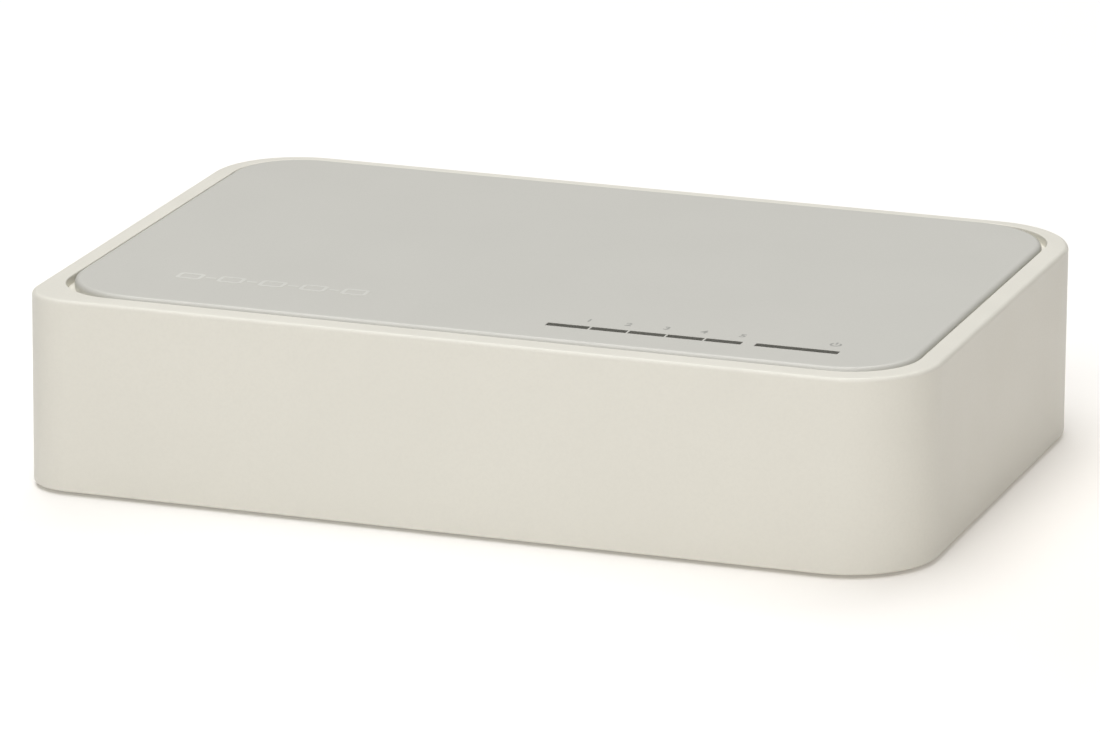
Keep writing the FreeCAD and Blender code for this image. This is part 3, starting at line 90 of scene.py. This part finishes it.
# --------------------------------------------------------------- node tools
class Tree:
    """A material's node tree with short calls to build it."""

    def __init__(self, name):
        self.m = bpy.data.materials.new(name)
        self.m.use_nodes = True
        self.nt = self.m.node_tree
        self.nt.nodes.clear()
        self.out = self.add("ShaderNodeOutputMaterial")
        self.bsdf = self.add("ShaderNodeBsdfPrincipled")
        self.link(self.bsdf.outputs[0], self.out.inputs[0])
        self.coord = self.add("ShaderNodeTexCoord").outputs["Object"]

    def add(self, kind, **props):
        n = self.nt.nodes.new(kind)
        for k, v in props.items():
            setattr(n, k, v)
        return n

    def link(self, a, b):
        self.nt.links.new(a, b)

    def put(self, sock, v):
        if isinstance(v, bpy.types.NodeSocket):
            self.link(v, sock)
        else:
            sock.default_value = v

    def set(self, **vals):
        for k, v in vals.items():
            self.put(self.bsdf.inputs[k.replace("_", " ")], v)

    def math(self, op, a, b=None, c=None, clamp=False):
        n = self.add("ShaderNodeMath", operation=op, use_clamp=clamp)
        for i, v in enumerate((a, b, c)):
            if v is not None:
                self.put(n.inputs[i], v)
        return n.outputs[0]

    def scaled(self, scale):
        n = self.add("ShaderNodeMapping")
        self.link(self.coord, n.inputs["Vector"])
        n.inputs["Scale"].default_value = scale
        return n.outputs[0]

    def noise(self, size, detail=2.0, rough=0.5, vec=None, distort=0.0):
        """Noise whose features are about size metres across."""
        n = self.add("ShaderNodeTexNoise")
        self.link(vec or self.coord, n.inputs["Vector"])
        n.inputs["Scale"].default_value = 1.0 / size
        n.inputs["Detail"].default_value = detail
        n.inputs["Roughness"].default_value = rough
        n.inputs["Distortion"].default_value = distort
        return n.outputs["Fac"]

    def ramp(self, fac, lo, hi, a=0.0, b=1.0):
        n = self.add("ShaderNodeMapRange", clamp=True)
        n.interpolation_type = "SMOOTHSTEP"
        self.put(n.inputs["Value"], fac)
        n.inputs["From Min"].default_value = lo
        n.inputs["From Max"].default_value = hi
        n.inputs["To Min"].default_value = a
        n.inputs["To Max"].default_value = b
        return n.outputs["Result"]

    def mix(self, fac, a, b):
        n = self.add("ShaderNodeMix", data_type="RGBA")
        self.put(n.inputs["Factor"], fac)
        for i, v in ((6, a), (7, b)):
            self.put(n.inputs[i], v if isinstance(v, bpy.types.NodeSocket) else rgba(v))
        return n.outputs[2]

    def bump(self, height, distance, strength=1.0, normal=None):
        n = self.add("ShaderNodeBump")
        n.inputs["Strength"].default_value = strength
        n.inputs["Distance"].default_value = distance
        self.link(height, n.inputs["Height"])
        if normal is not None:
            self.link(normal, n.inputs["Normal"])
        return n.outputs[0]

    def edges(self, radius):
        """1 on edges of about that radius, 0 on flats."""
        bevel = self.add("ShaderNodeBevel", samples=6)
        bevel.inputs["Radius"].default_value = radius
        geo = self.add("ShaderNodeNewGeometry")
        dot = self.add("ShaderNodeVectorMath", operation="DOT_PRODUCT")
        self.link(bevel.outputs[0], dot.inputs[0])
        self.link(geo.outputs["Normal"], dot.inputs[1])
        return self.ramp(dot.outputs["Value"], 0.999, 0.93, 0.0, 1.0)

    def specks(self, cell, radius, share, seed=0.0):
        """Sparse round specks: 1 inside a speck."""
        vec = self.add("ShaderNodeMapping")
        self.link(self.coord, vec.inputs["Vector"])
        vec.inputs["Location"].default_value = (seed, seed * 0.7, seed * 0.3)
        v = self.add("ShaderNodeTexVoronoi", feature="F1")
        self.link(vec.outputs[0], v.inputs["Vector"])
        v.inputs["Scale"].default_value = 1.0 / cell
        near = self.ramp(v.outputs["Distance"], radius / cell, radius / cell * 0.45)
        sep = self.add("ShaderNodeSeparateColor")
        self.link(v.outputs["Color"], sep.inputs[0])
        chosen = self.math("LESS_THAN", sep.outputs[0], share)
        return self.math("MULTIPLY", near, chosen)


def rgba(c):
    return tuple(c) + ((1.0,) if len(c) == 3 else ())


def times(c, k):
    return tuple(min(1.0, x * k) for x in c[:3])


def plastic(name, color, rough, grain=0.00016, depth=2.0e-6, var=0.02, edge=1.05,
            edge_radius=0.0003, dust=None, scuffs=0.0, coat=0.0, ior=1.5, sss=0.0, spec=0.5,
            drift=0.04):
    """Moulded plastic: fine spark texture, slow colour drift, worn edges, dust, light scuffs."""
    t = Tree(name)
    slow = t.ramp(t.noise(0.022, 3.0, 0.55), 0.3, 0.7)
    base = t.mix(slow, times(color, 1 - var), times(color, 1 + var))
    fine = t.noise(grain * 2.2, 1.0, 0.5)
    base = t.mix(t.ramp(fine, 0.35, 0.7, 0.0, 0.35), base, times(color, 0.965))
    e = t.edges(edge_radius)
    wear = t.math("MULTIPLY", e, t.ramp(t.noise(0.004, 3.0, 0.6), 0.35, 0.65, 0.35, 1.0))
    base = t.mix(wear, base, times(color, edge))
    rr = t.ramp(t.noise(0.009, 3.0, 0.6), 0.3, 0.7, rough - drift, rough + drift)
    rr = t.math("SUBTRACT", rr, t.math("MULTIPLY", wear, 0.07))
    if dust:
        for cell, radius, share, tone, seed in dust:
            s = t.specks(cell, radius, share, seed)
            base = t.mix(s, base, tone)
    height = t.math(
        "ADD",
        t.noise(grain, 2.0, 0.6),
        t.math("MULTIPLY", t.noise(grain * 6.0, 2.0, 0.5), 0.6),
    )
    if scuffs:
        line = t.add("ShaderNodeTexNoise")
        stretched = t.scaled((1.0, 14.0, 14.0))
        t.link(stretched, line.inputs["Vector"])
        line.inputs["Scale"].default_value = 120
        line.inputs["Detail"].default_value = 5
        sc = t.ramp(line.outputs["Fac"], 0.66, 0.72, 0.0, scuffs)
        rr = t.math("ADD", rr, sc)
    n = t.bump(height, depth)
    t.set(Base_Color=base, Roughness=rr, Normal=n)
    t.bsdf.inputs["IOR"].default_value = ior
    t.bsdf.inputs["Specular IOR Level"].default_value = spec
    if coat:
        t.bsdf.inputs["Coat Weight"].default_value = coat
        t.bsdf.inputs["Coat Roughness"].default_value = 0.18
    if sss:
        t.bsdf.inputs["Subsurface Weight"].default_value = sss
        t.bsdf.inputs["Subsurface Radius"].default_value = (0.0012, 0.001, 0.0007)
        t.bsdf.inputs["Subsurface Scale"].default_value = 1.0
    return t.m


def metal(name, color, rough, brush=(1.0, 1.0, 20.0), size=0.0006, tarnish=None, depth=1.5e-6):
    """Metal with drawn lines, uneven polish and light tarnish."""
    t = Tree(name)
    vec = t.scaled(brush)
    lines = t.noise(size, 3.0, 0.6, vec)
    cloud = t.noise(0.003, 3.0, 0.55)
    base = t.mix(t.ramp(cloud, 0.35, 0.7), color, tarnish or times(color, 0.82))
    rr = t.math("ADD", t.ramp(lines, 0.3, 0.7, rough - 0.06, rough + 0.1),
                t.ramp(cloud, 0.4, 0.75, 0.0, 0.08))
    n = t.bump(lines, depth)
    t.set(Base_Color=base, Roughness=rr, Normal=n)
    t.bsdf.inputs["Metallic"].default_value = 1.0
    return t.m


# ---------------------------------------------------------------- materials
IVORY = (0.795, 0.775, 0.703)
GREY = (0.622, 0.615, 0.572)
dust_shell = [
    (0.011, 0.00020, 0.22, (0.50, 0.47, 0.40), 0.013),
    (0.005, 0.00008, 0.20, (0.42, 0.39, 0.33), 0.031),
]
dust_panel = [(0.006, 0.00008, 0.16, (0.40, 0.40, 0.37), 0.021)]
M = {}
M["ivory_shell"] = plastic("ivory_shell", IVORY, 0.42, var=0.008, edge=1.07, dust=dust_shell, spec=0.35)
M["ivory_base"] = plastic("ivory_base", times(IVORY, 0.985), 0.52, grain=0.0003, depth=5e-6,
                          var=0.025, edge=1.05, dust=dust_shell, scuffs=0.10)
M["grey_panel"] = plastic("grey_panel", GREY, 0.40, grain=0.00014, depth=1.4e-6, var=0.004, drift=0.012,
                          edge=1.05, edge_radius=0.0002, dust=dust_panel, spec=0.5)
M["jack_black"] = plastic("jack_black", (0.030, 0.030, 0.032), 0.48, grain=0.00018, depth=3e-6,
                          var=0.12, edge=2.4, edge_radius=0.00012)
M["insert_black"] = plastic("insert_black", (0.040, 0.040, 0.043), 0.55, grain=0.0001, depth=3e-6,
                            var=0.15, edge=2.0, edge_radius=0.0001)
M["inlet_black"] = plastic("inlet_black", (0.024, 0.024, 0.026), 0.34, grain=0.0002, depth=2e-6,
                           var=0.12, edge=2.6, edge_radius=0.00015)
M["chip_black"] = plastic("chip_black", (0.036, 0.036, 0.038), 0.62, grain=0.00008, depth=3e-6,
                          var=0.18, edge=1.8, edge_radius=0.0001)
M["rubber_feet"] = plastic("rubber_feet", (0.055, 0.055, 0.056), 0.78, grain=0.00022, depth=9e-6,
                           var=0.18, edge=1.7, edge_radius=0.0003,
                           dust=[(0.0012, 0.00006, 0.4, (0.30, 0.29, 0.27), 0.017)])
M["ferrite"] = plastic("ferrite", (0.075, 0.075, 0.078), 0.66, grain=0.00012, depth=6e-6, var=0.2,
                       edge=1.6, edge_radius=0.0001)
M["ceramic_tan"] = plastic("ceramic_tan", (0.30, 0.20, 0.125), 0.46, grain=0.00006, depth=2e-6,
                           var=0.12, edge=1.25, edge_radius=0.00008)
M["gold_contacts"] = metal("gold_contacts", (0.93, 0.69, 0.30), 0.22, tarnish=(0.80, 0.55, 0.24))
M["tinned_leads"] = metal("tinned_leads", (0.72, 0.72, 0.70), 0.34, brush=(3.0, 3.0, 3.0))
M["nickel_pin"] = metal("nickel_pin", (0.74, 0.72, 0.67), 0.18, brush=(1.0, 18.0, 1.0), size=0.0009)
M["zinc_screws"] = metal("zinc_screws", (0.66, 0.66, 0.64), 0.36, brush=(4, 4, 4), size=0.0008)
M["black_screws"] = metal("black_screws", (0.060, 0.060, 0.064), 0.42, brush=(4, 4, 4), size=0.0007,
                          tarnish=(0.12, 0.115, 0.11))
M["capacitor_can"] = metal("capacitor_can", (0.78, 0.79, 0.80), 0.26, brush=(1, 1, 22), size=0.0016)
M["crystal_can"] = metal("crystal_can", (0.74, 0.74, 0.73), 0.27, brush=(16, 1, 1), size=0.0014)


def smoked():
    t = Tree("smoked_bars")
    cloud = t.noise(0.0012, 3.0, 0.6)
    base = t.mix(t.ramp(cloud, 0.3, 0.7), (0.112, 0.110, 0.093), (0.136, 0.133, 0.114))
    e = t.edges(0.00012)
    base = t.mix(t.math("MULTIPLY", e, 0.4), base, (0.17, 0.167, 0.147))
    rr = t.ramp(t.noise(0.0005, 3.0, 0.6), 0.3, 0.7, 0.20, 0.32)
    t.set(Base_Color=base, Roughness=rr, Normal=t.bump(t.noise(0.0007, 2.0), 3e-6))
    t.bsdf.inputs["Transmission Weight"].default_value = 0.15
    t.bsdf.inputs["IOR"].default_value = 1.49
    return t.m


def lens():
    t = Tree("led_lens")
    cloud = t.noise(0.0004, 3.0, 0.6)
    base = t.mix(t.ramp(cloud, 0.3, 0.7), (0.78, 0.77, 0.62), (0.86, 0.86, 0.78))
    t.set(Base_Color=base, Roughness=t.ramp(cloud, 0.3, 0.7, 0.2, 0.34),
          Normal=t.bump(t.noise(0.0002), 2e-6))
    t.bsdf.inputs["Subsurface Weight"].default_value = 0.3
    t.bsdf.inputs["Subsurface Radius"].default_value = (0.0004, 0.0004, 0.0003)
    return t.m


def film():
    """Silvered polyester label stock: fine metal flake under a thin clear skin."""
    t = Tree("label")
    flake = t.noise(0.00011, 2.0, 0.7)
    cloud = t.noise(0.007, 3.0, 0.5)
    base = t.mix(t.ramp(flake, 0.3, 0.7), (0.62, 0.63, 0.63), (0.76, 0.77, 0.77))
    base = t.mix(t.ramp(cloud, 0.35, 0.75, 0.0, 0.4), base, (0.60, 0.60, 0.59))
    rr = t.ramp(cloud, 0.3, 0.7, 0.34, 0.46)
    ripple = t.bump(t.noise(0.006, 1.0), 2e-5)
    t.set(Base_Color=base, Roughness=rr, Normal=t.bump(flake, 1.5e-6, normal=ripple))
    t.bsdf.inputs["Metallic"].default_value = 0.55
    t.bsdf.inputs["Coat Weight"].default_value = 0.3
    t.bsdf.inputs["Coat Roughness"].default_value = 0.22
    return t.m


def board():
    """Green solder mask over copper: lighter where tracks run, weave on the bare edge."""
    t = Tree("board")
    brick = t.add("ShaderNodeTexBrick")
    t.link(t.coord, brick.inputs["Vector"])
    brick.offset, brick.squash = 0.37, 1.0
    brick.inputs["Scale"].default_value = 1.0
    brick.inputs["Mortar Size"].default_value = 0.00016
    brick.inputs["Mortar Smooth"].default_value = 0.25
    brick.inputs["Brick Width"].default_value = 0.0075
    brick.inputs["Row Height"].default_value = 0.0011
    track = brick.outputs["Fac"]
    cloud = t.noise(0.012, 3.0, 0.55)
    weave = t.noise(0.00045, 2.0, 0.6)
    low = t.mix(t.ramp(cloud, 0.3, 0.7), (0.010, 0.105, 0.040), (0.014, 0.130, 0.050))
    base = t.mix(track, low, (0.030, 0.205, 0.085))
    geo = t.add("ShaderNodeNewGeometry")
    sep = t.add("ShaderNodeSeparateXYZ")
    t.link(geo.outputs["Normal"], sep.inputs[0])
    side = t.math("LESS_THAN", t.math("ABSOLUTE", sep.outputs[2]), 0.5)
    base = t.mix(side, base, (0.48, 0.43, 0.24))
    rr = t.math("ADD", t.ramp(weave, 0.3, 0.7, 0.24, 0.34), t.math("MULTIPLY", side, 0.4))
    h = t.math("ADD", t.math("MULTIPLY", track, 1.0), t.math("MULTIPLY", weave, 0.35))
    t.set(Base_Color=base, Roughness=rr, Normal=t.bump(h, 1.6e-5))
    return t.m


M["smoked_bars"], M["led_lens"], M["label"], M["board"] = smoked(), lens(), film(), board()
M["print_grey"] = plastic("print_grey", (0.370, 0.370, 0.345), 0.5, grain=0.00006, depth=1e-6, var=0.05, edge=1.0)
M["print_soft"] = plastic("print_soft", (0.715, 0.710, 0.668), 0.38, grain=0.00008, depth=1e-6, var=0.02, edge=1.0)
M["print_rear"] = plastic("print_rear", (0.230, 0.225, 0.205), 0.5, grain=0.00006, depth=1e-6, var=0.08, edge=1.0)
M["print_ink"] = plastic("print_ink", (0.035, 0.035, 0.036), 0.45, grain=0.00006, depth=1e-6, var=0.1, edge=1.0)

for name, o in NODES.items():
    slot = SLOT_OF[name]
    o.data.materials.clear()
    o.data.materials.append(M[slot])


# ------------------------------------------------------------- printed marks
def finish_piece(o, mat_name, body="root"):
    o.data.materials.clear()
    o.data.materials.append(M[mat_name])
    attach(o, body)
    return o


def mesh_piece(name, verts, faces, slot, mat_name):
    me = bpy.data.meshes.new(name)
    me.from_pydata(verts, [], faces)
    me.validate()
    o = bpy.data.objects.new(name, me)
    scene.collection.objects.link(o)
    return finish_piece(o, mat_name)


class Ink:
    """Thin raised print gathered into one closed mesh: outlines are swept up by its thickness.
    frame: origin, axis along the reading direction, axis up the marks, outward normal."""

    def __init__(self, origin, along, upward, outward, thick=0.00001):
        self.o, self.a, self.u, self.n = (Vector(v) for v in (origin, along, upward, outward))
        self.t = thick
        self.bm = bmesh.new()

    def at(self, x, y, h):
        return self.o + self.a * x + self.u * y + self.n * h

    def strip(self, ring_out, ring_in=None):
        """A filled outline, or the band between two outlines with as many points."""
        lo = [self.bm.verts.new(self.at(x, y, 0)) for x, y in ring_out]
        hi = [self.bm.verts.new(self.at(x, y, self.t)) for x, y in ring_out]
        n = len(lo)
        for i in range(n):
            j = (i + 1) % n
            self.bm.faces.new((lo[i], lo[j], hi[j], hi[i]))
        if ring_in is None:
            self.bm.faces.new(hi)
            self.bm.faces.new(lo[::-1])
            return
        li = [self.bm.verts.new(self.at(x, y, 0)) for x, y in ring_in]
        hh = [self.bm.verts.new(self.at(x, y, self.t)) for x, y in ring_in]
        for i in range(n):
            j = (i + 1) % n
            self.bm.faces.new((li[j], li[i], hh[i], hh[j]))
            self.bm.faces.new((hi[i], hi[j], hh[j], hh[i]))
            self.bm.faces.new((lo[j], lo[i], li[i], li[j]))

    def rect(self, x0, y0, x1, y1):
        self.strip([(x0, y0), (x1, y0), (x1, y1), (x0, y1)])

    def rounded(self, x0, y0, x1, y1, r, k=5):
        return [
            (cx + r * math.cos(a), cy + r * math.sin(a))
            for cx, cy, s in (
                (x1 - r, y0 + r, -90), (x1 - r, y1 - r, 0), (x0 + r, y1 - r, 90), (x0 + r, y0 + r, 180),
            )
            for a in [math.radians(s + 90 * i / k) for i in range(k + 1)]
        ]

    def ring(self, cx, cy, r, w, n=40):
        out = [(cx + r * math.cos(2 * math.pi * i / n), cy + r * math.sin(2 * math.pi * i / n)) for i in range(n)]
        inn = [(cx + (r - w) * math.cos(2 * math.pi * i / n), cy + (r - w) * math.sin(2 * math.pi * i / n)) for i in range(n)]
        self.strip(out, inn)

    def disc(self, cx, cy, r, n=28):
        self.strip([(cx + r * math.cos(2 * math.pi * i / n), cy + r * math.sin(2 * math.pi * i / n)) for i in range(n)])

    def arc(self, cx, cy, r, w, a0, a1, n=36):
        pts = [math.radians(a0 + (a1 - a0) * i / n) for i in range(n + 1)]
        outer = [(cx + r * math.cos(a), cy + r * math.sin(a)) for a in pts]
        inner = [(cx + (r - w) * math.cos(a), cy + (r - w) * math.sin(a)) for a in pts[::-1]]
        self.strip(outer + inner)

    def power(self, cx, cy, r, w):
        """Generic power sign: an open ring and a short upright bar."""
        self.arc(cx, cy, r, w, 90 + 38, 90 + 360 - 38)
        self.rect(cx - w / 2, cy + r * 0.12, cx + w / 2, cy + r * 1.22)

    def digits(self, text, cx, cy, tall, bold=0.0):
        """Numerals from the built-in face, centred on a point."""
        cu = bpy.data.curves.new("glyph", "FONT")
        cu.body = text
        cu.size = tall / 0.70
        cu.align_x, cu.align_y = "CENTER", "CENTER"
        cu.resolution_u = 6
        cu.offset = bold
        cu.extrude = self.t / 2
        ob = bpy.data.objects.new("glyph", cu)
        scene.collection.objects.link(ob)
        bpy.context.view_layer.update()
        me = bpy.data.meshes.new_from_object(ob.evaluated_get(bpy.context.evaluated_depsgraph_get()))
        xs = [v.co.x for v in me.vertices]
        ys = [v.co.y for v in me.vertices]
        mx, my = (min(xs) + max(xs)) / 2, (min(ys) + max(ys)) / 2
        for v in me.vertices:
            v.co = self.at(v.co.x - mx + cx, v.co.y - my + cy, v.co.z + self.t / 2)
        self.bm.from_mesh(me)
        bpy.data.objects.remove(ob)
        bpy.data.curves.remove(cu)
        bpy.data.meshes.remove(me)

    def done(self, name, mat_name):
        bmesh.ops.remove_doubles(self.bm, verts=self.bm.verts[:], dist=2e-7)
        bmesh.ops.recalc_face_normals(self.bm, faces=self.bm.faces[:])
        me = bpy.data.meshes.new(name)
        self.bm.to_mesh(me)
        self.bm.free()
        o = bpy.data.objects.new(name, me)
        scene.collection.objects.link(o)
        return finish_piece(o, mat_name)


X, Y, Z = Vector((1, 0, 0)), Vector((0, 1, 0)), Vector((0, 0, 1))
panel_lo, panel_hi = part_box("top_panel")
guide_lo, guide_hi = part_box("light_guide")
top_z = panel_hi.z

# numerals and power sign behind the bars
ink = Ink((0, 0, top_z), X, Y, Z)
for i, x in enumerate((11.02, 15.57, 19.95, 24.23, 28.66)):
    ink.digits(str(i + 1), x * MM, -22.88 * MM, 1.12 * MM, 0.035 * MM)
ink.power(39.18 * MM, -22.75 * MM, 0.68 * MM, 0.24 * MM)
ink.done("panel_numerals", "print_grey")

# wordless sign: a row of five linked sockets, in a paler tone of the panel
ink = Ink((0, 0, top_z), X, Y, Z, 0.00002)
x0, pitch, wide, tall, yb = -38.2 * MM, 4.9 * MM, 3.0 * MM, 2.3 * MM, -22.1 * MM
for i in range(5):
    a = x0 + i * pitch
    ink.strip(
        ink.rounded(a, yb, a + wide, yb + tall, 0.45 * MM),
        ink.rounded(a + 0.42 * MM, yb + 0.42 * MM, a + wide - 0.42 * MM, yb + tall - 0.42 * MM, 0.2 * MM),
    )
    if i < 4:
        ink.rect(a + wide + 0.35 * MM, yb + tall / 2 - 0.2 * MM, a + pitch - 0.35 * MM, yb + tall / 2 + 0.2 * MM)
ink.done("panel_sign", "print_soft")

# rear numbers over the sockets and the inlet's polarity sign
shell_lo, shell_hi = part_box("upper_shell")
jack_lo, jack_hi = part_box("jack_housing")
port_x = [(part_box("port_%d_insert" % i)[0].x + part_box("port_%d_insert" % i)[1].x) / 2 for i in range(1, 6)]
ink = Ink((0, shell_hi.y, 0), -X, Z, Y)
for i, x in enumerate(port_x):
    ink.digits(str(i + 1), -x, jack_hi.z + 1.75 * MM, 1.5 * MM)
inlet_lo, inlet_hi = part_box("dc_jack_body")
cx = (inlet_lo.x + inlet_hi.x) / 2
zz = inlet_hi.z + 2.4 * MM
ink.ring(-cx, zz, 0.75 * MM, 0.16 * MM)
ink.disc(-cx, zz, 0.26 * MM)
for s in (-1, 1):
    ink.rect(-cx + s * 1.35 * MM - 0.6 * MM, zz - 0.07 * MM, -cx + s * 1.35 * MM + 0.6 * MM, zz + 0.07 * MM)
    c = -cx + s * 2.6 * MM
    ink.rect(c - 0.42 * MM, zz - 0.08 * MM, c + 0.42 * MM, zz + 0.08 * MM)
    if s > 0:
        ink.rect(c - 0.08 * MM, zz + 0.08 * MM, c + 0.08 * MM, zz + 0.42 * MM)
        ink.rect(c - 0.08 * MM, zz - 0.42 * MM, c + 0.08 * MM, zz - 0.08 * MM)
ink.done("rear_marks", "print_rear")

# label print: plain rules, a striped block and generic signs, no words
lab_lo, lab_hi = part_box("rating_label")
ink = Ink((0, 0, lab_lo.z), X, -Y, -Z, 0.000008)
lx0, lx1, ly0, ly1 = lab_lo.x, lab_hi.x, -lab_hi.y, -lab_lo.y
ink.strip(
    ink.rounded(lx0 + 0.9 * MM, ly0 + 0.9 * MM, lx1 - 0.9 * MM, ly1 - 0.9 * MM, 0.7 * MM),
    ink.rounded(lx0 + 1.08 * MM, ly0 + 1.08 * MM, lx1 - 1.08 * MM, ly1 - 1.08 * MM, 0.55 * MM),
)
x = lx0 + 3.0 * MM
while x < lx0 + 21.0 * MM:
    w = random.choice((0.16, 0.16, 0.3, 0.45)) * MM
    ink.rect(x, ly0 + 2.6 * MM, x + w, ly0 + 6.6 * MM)
    x += w + random.choice((0.18, 0.3, 0.42)) * MM
for k in range(4):
    ink.rect(lx0 + 3.0 * MM, ly1 - (3.4 + 1.9 * k) * MM, lx0 + (21.0 - 3.1 * (k % 2) - 1.3 * k) * MM, ly1 - (3.15 + 1.9 * k) * MM)
gx, gy = lx1 - 16.5 * MM, ly1 - 5.2 * MM
ink.strip(
    ink.rounded(gx - 1.7 * MM, gy - 1.7 * MM, gx + 1.7 * MM, gy + 1.7 * MM, 0.15 * MM),
    ink.rounded(gx - 1.5 * MM, gy - 1.5 * MM, gx + 1.5 * MM, gy + 1.5 * MM, 0.1 * MM),
)
ink.strip(
    ink.rounded(gx - 1.0 * MM, gy - 1.0 * MM, gx + 1.0 * MM, gy + 1.0 * MM, 0.12 * MM),
    ink.rounded(gx - 0.82 * MM, gy - 0.82 * MM, gx + 0.82 * MM, gy + 0.82 * MM, 0.08 * MM),
)
gx = lx1 - 8.0 * MM
ink.ring(gx, gy, 0.95 * MM, 0.18 * MM)
ink.disc(gx, gy, 0.34 * MM)
for s in (-1, 1):
    ink.rect(gx + s * 1.7 * MM - 0.75 * MM, gy - 0.08 * MM, gx + s * 1.7 * MM + 0.75 * MM, gy + 0.08 * MM)
    ink.rect(gx + s * 3.3 * MM - 0.45 * MM, gy - 0.09 * MM, gx + s * 3.3 * MM + 0.45 * MM, gy + 0.09 * MM)
    if s > 0:
        ink.rect(gx + s * 3.3 * MM - 0.09 * MM, gy + 0.09 * MM, gx + s * 3.3 * MM + 0.09 * MM, gy + 0.45 * MM)
        ink.rect(gx + s * 3.3 * MM - 0.09 * MM, gy - 0.45 * MM, gx + s * 3.3 * MM + 0.09 * MM, gy - 0.09 * MM)
ink.done("label_print", "print_ink")

# ------------------------------------------------------------------- floor
FLOOR_GLOW = 0.15
t = Tree("floor")
cloud = t.noise(0.4, 3.0, 0.5)
tone = t.mix(t.ramp(cloud, 0.3, 0.7), (0.912, 0.906, 0.896), (0.934, 0.928, 0.918))
# painted shade: two darker patches in the floor, one right of the case and one at its front left, dim the light the
# floor throws back onto the case's right side and front-left corner
for centre, r0, r1, painted_shade_tone in (
    ((0.100, 0.000, 0.0), 0.035, 0.115, (0.862, 0.832, 0.798)),
    ((-0.085, -0.065, 0.0), 0.020, 0.075, (0.860, 0.845, 0.825)),
):
    off = t.add("ShaderNodeVectorMath", operation="DISTANCE")
    t.link(t.coord, off.inputs[0])
    off.inputs[1].default_value = centre
    tone = t.mix(t.ramp(off.outputs["Value"], r0, r1, 1.0, 0.0), tone, painted_shade_tone)
t.set(Base_Color=tone,
      Roughness=t.ramp(cloud, 0.3, 0.7, 0.72, 0.8), Normal=t.bump(t.noise(0.001), 4e-6))
t.bsdf.inputs["Emission Color"].default_value = (1.0, 0.97, 0.92, 1)
t.bsdf.inputs["Emission Strength"].default_value = FLOOR_GLOW
me = bpy.data.meshes.new("floor")
me.from_pydata([(-6, -6, 0), (6, -6, 0), (6, 6, 0), (-6, 6, 0)], [], [(0, 1, 2, 3)])
floor = bpy.data.objects.new("floor", me)
floor.location.z = -0.00002
me.materials.append(t.m)
scene.collection.objects.link(floor)
floor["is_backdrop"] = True

# ------------------------------------------------------------------ lights
# a pale studio: a sky whose brightness drifts with direction, and soft boxes above and in front
SKY = {"base": 0.05, "back": 0.05}
BOX = {"top": 3.12, "brow": 5.15, "cheek": 0.34, "nape": 3.25}
SKY_WAY = {"back": (1, 0.0, 0.9)}
BOX_WAY = {
    "top": ((-0.20, -0.10, 1.30), (1.1, 0.9), (1.0, 0.997, 0.99)),
    "brow": ((0.25, -0.95, 0.98), (1.0, 0.5), (1.0, 0.993, 0.978)),
    "cheek": ((0.80, -1.10, 0.32), (0.7, 0.6), (1.0, 0.90, 0.72)),
    "nape": ((-0.22, 0.75, 1.15), (1.0, 0.6), (1.0, 0.998, 0.995)),
}
world = bpy.data.worlds.new("studio")
scene.world = world
world.use_nodes = True
wt = world.node_tree
bg = wt.nodes["Background"]
bg.inputs[0].default_value = (1.0, 0.997, 0.990, 1)
axes = wt.nodes.new("ShaderNodeSeparateXYZ")
wt.links.new(wt.nodes.new("ShaderNodeTexCoord").outputs["Generated"], axes.inputs[0])
sky = None
for name, (axis, lo, hi) in SKY_WAY.items():
    turn = wt.nodes.new("ShaderNodeMapRange")
    turn.interpolation_type = "SMOOTHSTEP"
    wt.links.new(axes.outputs[axis], turn.inputs["Value"])
    turn.inputs["From Min"].default_value, turn.inputs["From Max"].default_value = lo, hi
    turn.inputs["To Min"].default_value, turn.inputs["To Max"].default_value = 0.0, SKY[name]
    total = wt.nodes.new("ShaderNodeMath")
    total.operation = "ADD"
    wt.links.new(turn.outputs[0], total.inputs[0])
    if sky is None:
        total.inputs[1].default_value = SKY["base"]
    else:
        wt.links.new(sky, total.inputs[1])
    sky = total.outputs[0]
wt.links.new(sky, bg.inputs[1])

for name, (where, size, tint) in BOX_WAY.items():
    d = bpy.data.lights.new(name + "_box", "AREA")
    d.shape = "RECTANGLE"
    d.size, d.size_y = size
    d.energy = BOX[name] * math.pi * size[0] * size[1]
    d.color = tint
    o = bpy.data.objects.new(name + "_box", d)
    o.location = where
    o.rotation_mode = "QUATERNION"
    o.rotation_quaternion = (Vector((0, 0, 0.012)) - Vector(where)).to_track_quat("-Z", "Y")
    scene.collection.objects.link(o)

# ------------------------------------------------------------------- finish
lo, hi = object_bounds()
